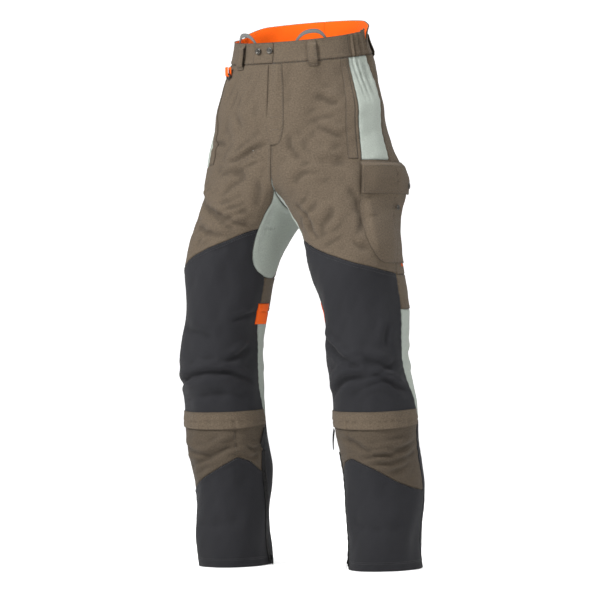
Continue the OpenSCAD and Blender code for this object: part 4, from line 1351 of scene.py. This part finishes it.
def build_knee():
    """Hard-wearing fronts, stretch backs and the inseam tabs of both knees."""
    for side in (LEFT, RIGHT):
        leg = SIDE_NAME[side]
        knee = Cut(f"knee_panel_{leg}")
        knee.lay(side, inner_seam, outer_seam, level(SHIN_H), knee_top(side),
                 fell={"high": (0.7, 6), "right": (0.5, 6)})
        knee.sew(material("charcoal_weave"), 1.6, "knee",
                 [f"knee_panel_{leg}"])
        top = Cut(f"thigh_back_{leg}")
        top.lay(side, outer_seam, back_middle, level(BACK_SPLIT_H), level(THIGH_H),
                fell={"low": (0.6, 6)})
        top.sew(material("brown_twill"), 1.5, "knee", [f"thigh_back_{leg}"])
        back = Cut(f"knee_back_{leg}")
        back.lay(side, outer_seam, back_middle, level(SHIN_H), level(BACK_SPLIT_H))
        back.sew(material("stretch_weave"), 1.4, "knee",
                 [f"knee_back_{leg}"])
        tab = Cut(f"inseam_tab_{leg}")
        tab.lay(side, level(-103), level(-76), level(BACK_SPLIT_H - 24), level(BACK_SPLIT_H + 16),
                proud=overlay(2.0), step=2.5)
        tab.sew(material("orange_lining"), 1.3, "knee",
                [f"inseam_tab_{leg}"])
        th = np.linspace(-49, 86, 90)
        for inset in (-2.0, -7.5):
            topstitch("knee", side, "charcoal", th, knee_top(side)(th) + inset, 0.7)
        h = np.linspace(SHIN_H + 6, THIGH_H - 3, 80)
        topstitch("knee", side, "charcoal", outer_seam(h) - 1.3, h, 0.5)
        topstitch("knee", side, "charcoal", inner_seam(h) + 1.3, h)
        th = np.linspace(90, 276, 90)
        for up in (2, 7):
            topstitch("knee", side, "brown", th, np.full(90, BACK_SPLIT_H + up), 0.6)
        topstitch("knee", side, "brown", th, np.full(90, THIGH_H - 2.5))


# ---------- lower leg ----------

def build_lower():
    """Everything below the knees, from the bands to the hems."""
    for side in (LEFT, RIGHT):
        leg = SIDE_NAME[side]

        def slant(th):
            return 8 * (np.abs(th) / 88) ** 2

        def band_low(th):
            return SHIN_H - 16 + slant(th)

        def band_high(th):
            return SHIN_H + 18 + slant(th) / 2

        def band_lift(u, v, d):
            loose = 1.3 * smooth((1 - v) / 0.6)
            ends = 0.4 + 0.6 * smooth(np.minimum(d["left"], d["right"]) / 1.5)
            return (1.7 + loose) * ends * (0.5 + 0.5 * smooth(d["high"] / 1.4))
        band = Cut(f"knee_band_{leg}")
        band.lay(side, level(-86), level(87), band_low, band_high, proud=band_lift, step=3.2)
        band.sew(material("brown_twill"), 1.4, f"shin_{leg}",
                 [f"knee_band_{leg}"], 0.4)
        th = np.linspace(-85, 86, 90)
        for down in (2, 7):
            topstitch(f"shin_{leg}", side, "brown", th, band_high(th) - down, 1.9)
        upper = Cut(f"shin_upper_{leg}")
        upper.lay(side, inner_seam, level(88), LEG_TOP, level(SHIN_H))
        # the upper shin takes the darker copy of the brown twill, painted shade
        upper.sew(material("shin_twill_painted_shade"), 1.6, f"shin_{leg}",
                  [f"shin_upper_{leg}"])
        end = Cut(f"leg_end_{leg}")
        end.lay(side, inner_seam, level(88), level(0), LEG_TOP, fell={"high": (0.7, 5)})
        end.sew(material("charcoal_weave"), 1.8, f"shin_{leg}",
                [f"leg_end_{leg}"], 0.5)
        calf = Cut(f"calf_panel_{leg}")
        calf.lay(side, level(88), lambda h: 360 + inner_seam(h), level(0), level(SHIN_H),
                 fell={"left": (0.5, 6)})
        calf.sew(material("charcoal_weave"), 1.8, f"shin_{leg}",
                 [f"calf_panel_{leg}"], 0.5)
        zone = f"shin_{leg}"
        for up in (14, 17):
            th = np.linspace(-72, 278, 160)
            topstitch(zone, side, "charcoal", th, np.full(160, float(up)))
        th = np.linspace(-73, 87, 90)
        topstitch(zone, side, "charcoal", th, LEG_TOP(th) - 2, 0.7)
        h = np.linspace(4, SHIN_H - 4, 60)
        topstitch(zone, side, "charcoal", np.full(60, 89.2), h, 0.5)
        h = np.linspace(218, SHIN_H - 18, 12)
        topstitch(zone, side, "brown", np.full(12, PEAK_ANGLE + 1.6), h)
        build_leg_zip(side)
        build_pull_tab(side)


def build_leg_zip(side):
    """A strip of tape with two rows of teeth and a slider near the hem."""
    leg = SIDE_NAME[side]
    zone = f"shin_{leg}"
    tape = Cut(f"leg_zip_{leg}")
    low, high = 6, 224
    tape.lay(side, lambda h: inner_seam(h) - 4, lambda h: inner_seam(h) + 4, level(low),
             level(high), proud=1.6, cols=8, rows=110)
    tape.sew(material("zip_tape"), 0.9, zone, [f"leg_zip_{leg}"])
    h = np.arange(low + 2, high - 2, 1.6)
    teeth_bm = bmesh.new()
    bmesh.ops.create_cube(teeth_bm, size=1)
    template = np.array([v.co for v in teeth_bm.verts])
    faces = [[v.index for v in f.verts] for f in teeth_bm.faces]
    teeth_bm.free()
    every, lists = [], []
    for k in (-1, 1):
        at = inner_seam(h) + k * 0.7
        place = skin(side, at, h + 0.4 * k, 2.0)
        out = outward(side, at, h)
        across = np.cross(out, np.array([0, 0, 1.0]))
        block = (place[:, None] + template[None, :, :1] * across[:, None] * 2.4 * MM
                 + template[None, :, 1:2] * out[:, None] * 1.0 * MM
                 + template[None, :, 2:] * np.array([0, 0, 1.0]) * 0.9 * MM)
        start = sum(len(row) for row in every)
        lists += [[c + start + 8 * i for c in f] for i in range(len(h)) for f in faces]
        every.append(block.reshape(-1, 3))
    mesh = bpy.data.meshes.new(f"zip_teeth_{leg}")
    mesh.from_pydata(np.concatenate(every).tolist(), [], lists)
    mesh.materials.append(material("zip_metal"))
    teeth = bpy.data.objects.new(mesh.name, mesh)
    bpy.context.scene.collection.objects.link(teeth)
    fix(teeth, zone)
    low_c, high_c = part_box(f"leg_zip_slider_{leg}")
    out = Vector(outward(side, inner_seam(np.array([14.0])), np.array([14.0]))[0])
    slider_object(f"leg_zip_slider_{leg}", f"leg_zip_slider_{leg}", (low_c + high_c) / 2, out,
                  Vector((0, 0, 1)))


def build_pull_tab(side):
    """Folded webbing that hangs from under the band, its end cut at a slant."""
    leg = SIDE_NAME[side]
    matrix = plan_frame(side, -80, SHIN_H - 17, 5.7) @ Matrix.Rotation(math.radians(-28), 4, "Y")
    bm = bmesh.new()
    made = bmesh.ops.create_grid(bm, x_segments=6, y_segments=18, size=0.5)
    wide, long_ = 11 * MM, 40 * MM
    for v in made["verts"]:
        share = 0.5 - v.co.y
        cut = 0.15 * share * (0.5 + v.co.x)
        v.co = Vector((v.co.x * wide, -0.9 * MM * math.sin(math.pi * share), -(share - cut) * long_))
    flat_uv(bm)
    bmesh.ops.transform(bm, matrix=matrix, verts=bm.verts)
    obj = new_object(f"pull_tab_{leg}", bm, material("black_webbing"))
    thicken(obj, 1.6, 0, 0.3)
    fix(obj, f"pull_tab_{leg}", [f"pull_tab_{leg}"])


# ---------- inside ----------

def build_inside():
    """Linings, pocket bags, cut-resistant inserts and knee pads."""
    lining = Cut("hip_lining")
    for side in (LEFT, RIGHT):
        lining.lay(side, lambda h: -middle_angle(h), lambda h: 180 + middle_angle(h),
                   lambda th, s=side: hip_line(s, th, CROTCH_H + 12), level(SEAM_H - 3),
                   proud=-HIP_LINING_DEPTH, step=7)
    lining.sew(material("mesh_lining"), 0.8, "hips", ["hip_lining"])
    for side in (LEFT, RIGHT):
        leg = SIDE_NAME[side]
        thigh = Cut(f"thigh_lining_{leg}")
        thigh.lay(side, level(-89.8), level(269.8), level(THIGH_H - 14),
                  lambda th, s=side: hip_line(s, th, THIGH_H - 4), proud=-THIGH_LINING_DEPTH, step=7)
        thigh.sew(material("mesh_lining"), 0.8, f"thigh_{leg}",
                  [f"thigh_lining_{leg}"])
        bag = Cut(f"hand_pocket_bag_{leg}")
        bag.lay(side, lambda h: side_front(h) - 46, lambda h: side_front(h) - 2,
                level(POCKET_H + 14), level(SEAM_H - 6), proud=-BAG_DEPTH, step=4.5)
        bag.sew(material("mesh_lining"), 0.6, "hip", ["hand_pocket_bags"])
        for part, zone, low, high in (("upper", "hip", THIGH_H, GUSSET_H + 8),
                                      ("lower", "knee", 22, THIGH_H)):
            insert = Cut(f"cut_insert_{leg}_{part}")
            insert.lay(side, lambda h: inner_seam(h) + 8, level(74), level(low), level(high),
                       proud=-INSERT_DEPTH, step=5.5)
            insert.sew(material("insert_fibre"), 1.0, zone,
                       [f"cut_insert_{leg}"])
        build_knee_pad(side)


def build_knee_pad(side):
    """A foam pad with rounded edges and flex grooves across it."""
    leg = SIDE_NAME[side]

    def crowned(u, v, d):
        edge = smooth(np.minimum.reduce([d[k] for k in d]) / 14)
        grooves = sum(np.exp(-((v - at) / 0.02) ** 2) for at in (0.25, 0.42, 0.58, 0.75))
        return -PAD_DEPTH + 3.0 * edge - 1.2 * grooves * edge
    pad = Cut(f"knee_pad_{leg}")
    pad.lay(side, level(-48), level(46), level(KNEE_H - 85), level(KNEE_H + 85), proud=crowned,
            step=4)
    obj = pad.sew(material("foam"), 6.5, "knee", [f"knee_pad_{leg}"], 1.6)


# ---------- stage ----------

VIEW_ANGLE, VIEW_TILT, VIEW_DISTANCE = 29.0, -1.2, 6.0
TARGET = Vector((0, 0, -0.490))
LENS, SENSOR, FRAME_SHIFT = 186.5, 36.0, -5 / 600
WORLD_LIGHT = 0.26
# name, place before the turn to the camera, size and power
LAMPS = (("key", (-2.5, -2.3, 2.3), 0.9, 225), ("fill", (2.6, -4.2, 0.4), 2.0, 75),
         ("top", (0.8, 0.0, 3.0), 1.2, 60))


def build_stage():
    """The camera, a pale swept floor, three lamps and the world's light."""
    scene = bpy.context.scene
    angle = math.radians(VIEW_ANGLE)
    back = Vector((math.sin(angle), -math.cos(angle), 0))
    camera = bpy.data.cameras.new("camera")
    camera.lens, camera.sensor_width = LENS, SENSOR
    camera.shift_x = FRAME_SHIFT
    camera.clip_end = 60
    eye = bpy.data.objects.new("camera", camera)
    scene.collection.objects.link(eye)
    eye.matrix_world = (Matrix.Translation(TARGET + back * VIEW_DISTANCE)
                        @ (-back).to_track_quat("-Z", "Y").to_matrix().to_4x4()
                        @ Matrix.Rotation(math.radians(VIEW_TILT), 4, "Z"))
    scene.camera = eye

    bm = bmesh.new()
    outline = [Vector((0, -7, 0)), Vector((0, 4.5, 0))]
    outline += [Vector((0, 4.5 + 2.5 * math.sin(a), 2.5 - 2.5 * math.cos(a)))
                for a in np.linspace(0.1, math.pi / 2, 16)]
    outline.append(Vector((0, 7, 9)))
    verts = [bm.verts.new(p) for p in outline]
    edges = [bm.edges.new(pair) for pair in zip(verts, verts[1:])]
    made = bmesh.ops.extrude_edge_only(bm, edges=edges)
    moved = [g for g in made["geom"] if isinstance(g, bmesh.types.BMVert)]
    bmesh.ops.translate(bm, verts=bm.verts, vec=(-12, 0, 0))
    bmesh.ops.translate(bm, verts=moved, vec=(24, 0, 0))
    floor_z = CAD_BOX[0].z - 0.001
    bmesh.ops.transform(bm, verts=bm.verts,
                        matrix=Matrix.Translation((0, 0, floor_z)) @ Matrix.Rotation(angle, 4, "Z"))
    bmesh.ops.recalc_face_normals(bm, faces=bm.faces)
    pale = Paint("pale_floor")
    place = pale.node("ShaderNodeTexCoord")
    noise = pale.node("ShaderNodeTexNoise", Scale=3.0, Detail=2.0)
    pale.link(place.outputs["Object"], noise.inputs["Vector"])
    pale.link(pale.blend(noise.outputs["Fac"], (0.90, 0.90, 0.90, 1), (0.93, 0.93, 0.93, 1)),
              pale.shader.inputs["Base Color"])
    ray = pale.node("ShaderNodeLightPath")
    pale.shader.inputs["Emission Color"].default_value = (1, 1, 1, 1)
    pale.link(pale.math("MULTIPLY", ray.outputs["Is Camera Ray"], 0.6),
              pale.shader.inputs["Emission Strength"])
    pale.shader.inputs["Roughness"].default_value = 0.9
    pale.shader.inputs["Specular IOR Level"].default_value = 0.1
    floor = new_object("studio_floor", bm, pale.material)

    world = bpy.data.worlds.new("studio")
    world.use_nodes = True
    tree = world.node_tree
    tree.nodes["Background"].inputs["Color"].default_value = (1, 1, 1, 1)
    seen = tree.nodes.new("ShaderNodeLightPath")
    strength = tree.nodes.new("ShaderNodeMath")
    strength.operation = "MULTIPLY_ADD"
    tree.links.new(seen.outputs["Is Camera Ray"], strength.inputs[0])
    strength.inputs[1].default_value = 1 - WORLD_LIGHT
    strength.inputs[2].default_value = WORLD_LIGHT
    tree.links.new(strength.outputs[0], tree.nodes["Background"].inputs["Strength"])
    scene.world = world
    for name, where, size, power in LAMPS:
        light = bpy.data.lights.new(name, "AREA")
        light.size, light.energy = size, power
        lamp = bpy.data.objects.new(name, light)
        scene.collection.objects.link(lamp)
        place = Matrix.Rotation(angle, 4, "Z") @ Vector(where)
        lamp.location = place
        lamp.rotation_euler = (TARGET - place).to_track_quat("-Z", "Y").to_euler()
    scene.view_settings.view_transform = "Standard"


# ---------- add-on ----------

def srgb(*values):
    """Linear colour from values of 0 to 255."""
    return tuple((v / 255) ** 2.2 for v in values)


class TrouserSizes(bpy.types.PropertyGroup):
    """Mesh, folds and stitches"""
    mesh_step: bpy.props.FloatProperty(
        name="Mesh step", description="Distance between the points of the large panels",
        default=0.004, min=0.002, max=0.012, unit="LENGTH")
    fold_scale: bpy.props.FloatProperty(
        name="Folds", description="Depth of the folds as a share of the usual depth",
        default=1.8, min=0.0, max=2.5, subtype="FACTOR")
    stitch_long: bpy.props.FloatProperty(
        name="Stitch length", description="Length of one stitch", default=0.0031, min=0.002,
        max=0.006, unit="LENGTH")
    stitch_gap: bpy.props.FloatProperty(
        name="Stitch gap", description="Gap between two stitches", default=0.0009, min=0.0004,
        max=0.003, unit="LENGTH")
    thread_wide: bpy.props.FloatProperty(
        name="Thread width", description="Width of the sewing thread", default=0.00062,
        min=0.0003, max=0.0012, unit="LENGTH")


def colour_prop(name, description, *values):
    """One colour of the panel, given from 0 to 255."""
    return bpy.props.FloatVectorProperty(name=name, description=description, subtype="COLOR",
                                         size=3, min=0, max=1, default=srgb(*values))


class TrouserColours(bpy.types.PropertyGroup):
    """Colours of cloth, thread and fittings"""
    brown: colour_prop("Brown", "Colour of the main cloth", 93, 82, 69)
    charcoal: colour_prop("Charcoal", "Colour of the hard-wearing cloth", 38, 38, 41)
    stretch: colour_prop("Stretch grey", "Colour of the stretch panels", 156, 163, 155)
    orange: colour_prop("Orange", "Colour of the lining, loop and tabs", 246, 98, 6)
    tape: colour_prop("Tape", "Colour of the brace loops", 108, 108, 106)
    lining: colour_prop("Lining", "Colour of the inner lining", 150, 152, 150)
    insert: colour_prop("Insert", "Colour of the cut-resistant fibre", 226, 222, 204)
    black: colour_prop("Black", "Colour of zips, webbing and plastic", 36, 35, 35)
    metal: colour_prop("Metal", "Colour of the studs", 92, 90, 86)
    foam: colour_prop("Foam", "Colour of the knee pads", 58, 58, 62)


class BuildWaist(bpy.types.Operator):
    """Waistband, its elastic sides and lining, loops, studs and ring"""
    bl_idname = "trousers.waist"
    bl_label = "Waist"

    def execute(self, context):
        build_waist()
        build_belt_loops()
        build_brace_loops()
        build_studs()
        build_ring()
        return {"FINISHED"}


class BuildUpper(bpy.types.Operator):
    """Front, side, seat and gusset panels with the pocket welts"""
    bl_idname = "trousers.upper"
    bl_label = "Upper panels"

    def execute(self, context):
        build_upper()
        return {"FINISHED"}


class BuildFly(bpy.types.Operator):
    """Fly facing, zip tape and slider"""
    bl_idname = "trousers.fly"
    bl_label = "Fly"

    def execute(self, context):
        build_fly()
        return {"FINISHED"}


class BuildCargo(bpy.types.Operator):
    """Cargo pocket and its flap"""
    bl_idname = "trousers.cargo"
    bl_label = "Cargo pocket"

    def execute(self, context):
        build_cargo()
        return {"FINISHED"}


class BuildKnee(bpy.types.Operator):
    """Knee panels, stretch backs and inseam tabs"""
    bl_idname = "trousers.knee"
    bl_label = "Knees"

    def execute(self, context):
        build_knee()
        return {"FINISHED"}


class BuildLower(bpy.types.Operator):
    """Bands, shin panels, leg ends, zips and pull tabs"""
    bl_idname = "trousers.lower"
    bl_label = "Lower legs"

    def execute(self, context):
        build_lower()
        return {"FINISHED"}


class BuildInside(bpy.types.Operator):
    """Linings, pocket bags, cut-resistant inserts and knee pads"""
    bl_idname = "trousers.inside"
    bl_label = "Inside"

    def execute(self, context):
        build_inside()
        return {"FINISHED"}


class BuildStitching(bpy.types.Operator):
    """All rows of topstitching that the other pieces asked for"""
    bl_idname = "trousers.stitching"
    bl_label = "Stitching"

    def execute(self, context):
        thread_objects()
        return {"FINISHED"}


class BuildStage(bpy.types.Operator):
    """Floor, light and camera"""
    bl_idname = "trousers.stage"
    bl_label = "Stage"

    def execute(self, context):
        build_stage()
        return {"FINISHED"}


BUILDERS = (BuildStage, BuildWaist, BuildUpper, BuildFly, BuildCargo, BuildKnee, BuildLower,
            BuildInside, BuildStitching)


class TrouserPanel(bpy.types.Panel):
    """Lists the sizes, the colours and the builders"""
    bl_idname = "TROUSERS_PT_main"
    bl_label = "Work trousers"
    bl_space_type = "VIEW_3D"
    bl_region_type = "UI"
    bl_category = "Trousers"

    def draw(self, context):
        for group in (context.scene.trouser_sizes, context.scene.trouser_colours):
            for name in group.__annotations__:
                self.layout.prop(group, name)
        for builder in BUILDERS:
            self.layout.operator(builder.bl_idname)


CLASSES = (TrouserSizes, TrouserColours, *BUILDERS, TrouserPanel)


def register():
    """Adds the classes and the two groups of values."""
    for cls in CLASSES:
        bpy.utils.register_class(cls)
    bpy.types.Scene.trouser_sizes = bpy.props.PointerProperty(type=TrouserSizes)
    bpy.types.Scene.trouser_colours = bpy.props.PointerProperty(type=TrouserColours)


def unregister():
    """Removes what register added."""
    del bpy.types.Scene.trouser_colours
    del bpy.types.Scene.trouser_sizes
    for cls in reversed(CLASSES):
        bpy.utils.unregister_class(cls)


def main():
    """Builds everything in order."""
    register()
    for builder in BUILDERS:
        group, name = builder.bl_idname.split(".")
        getattr(getattr(bpy.ops, group), name)()


if __name__ == "__main__":
    main()
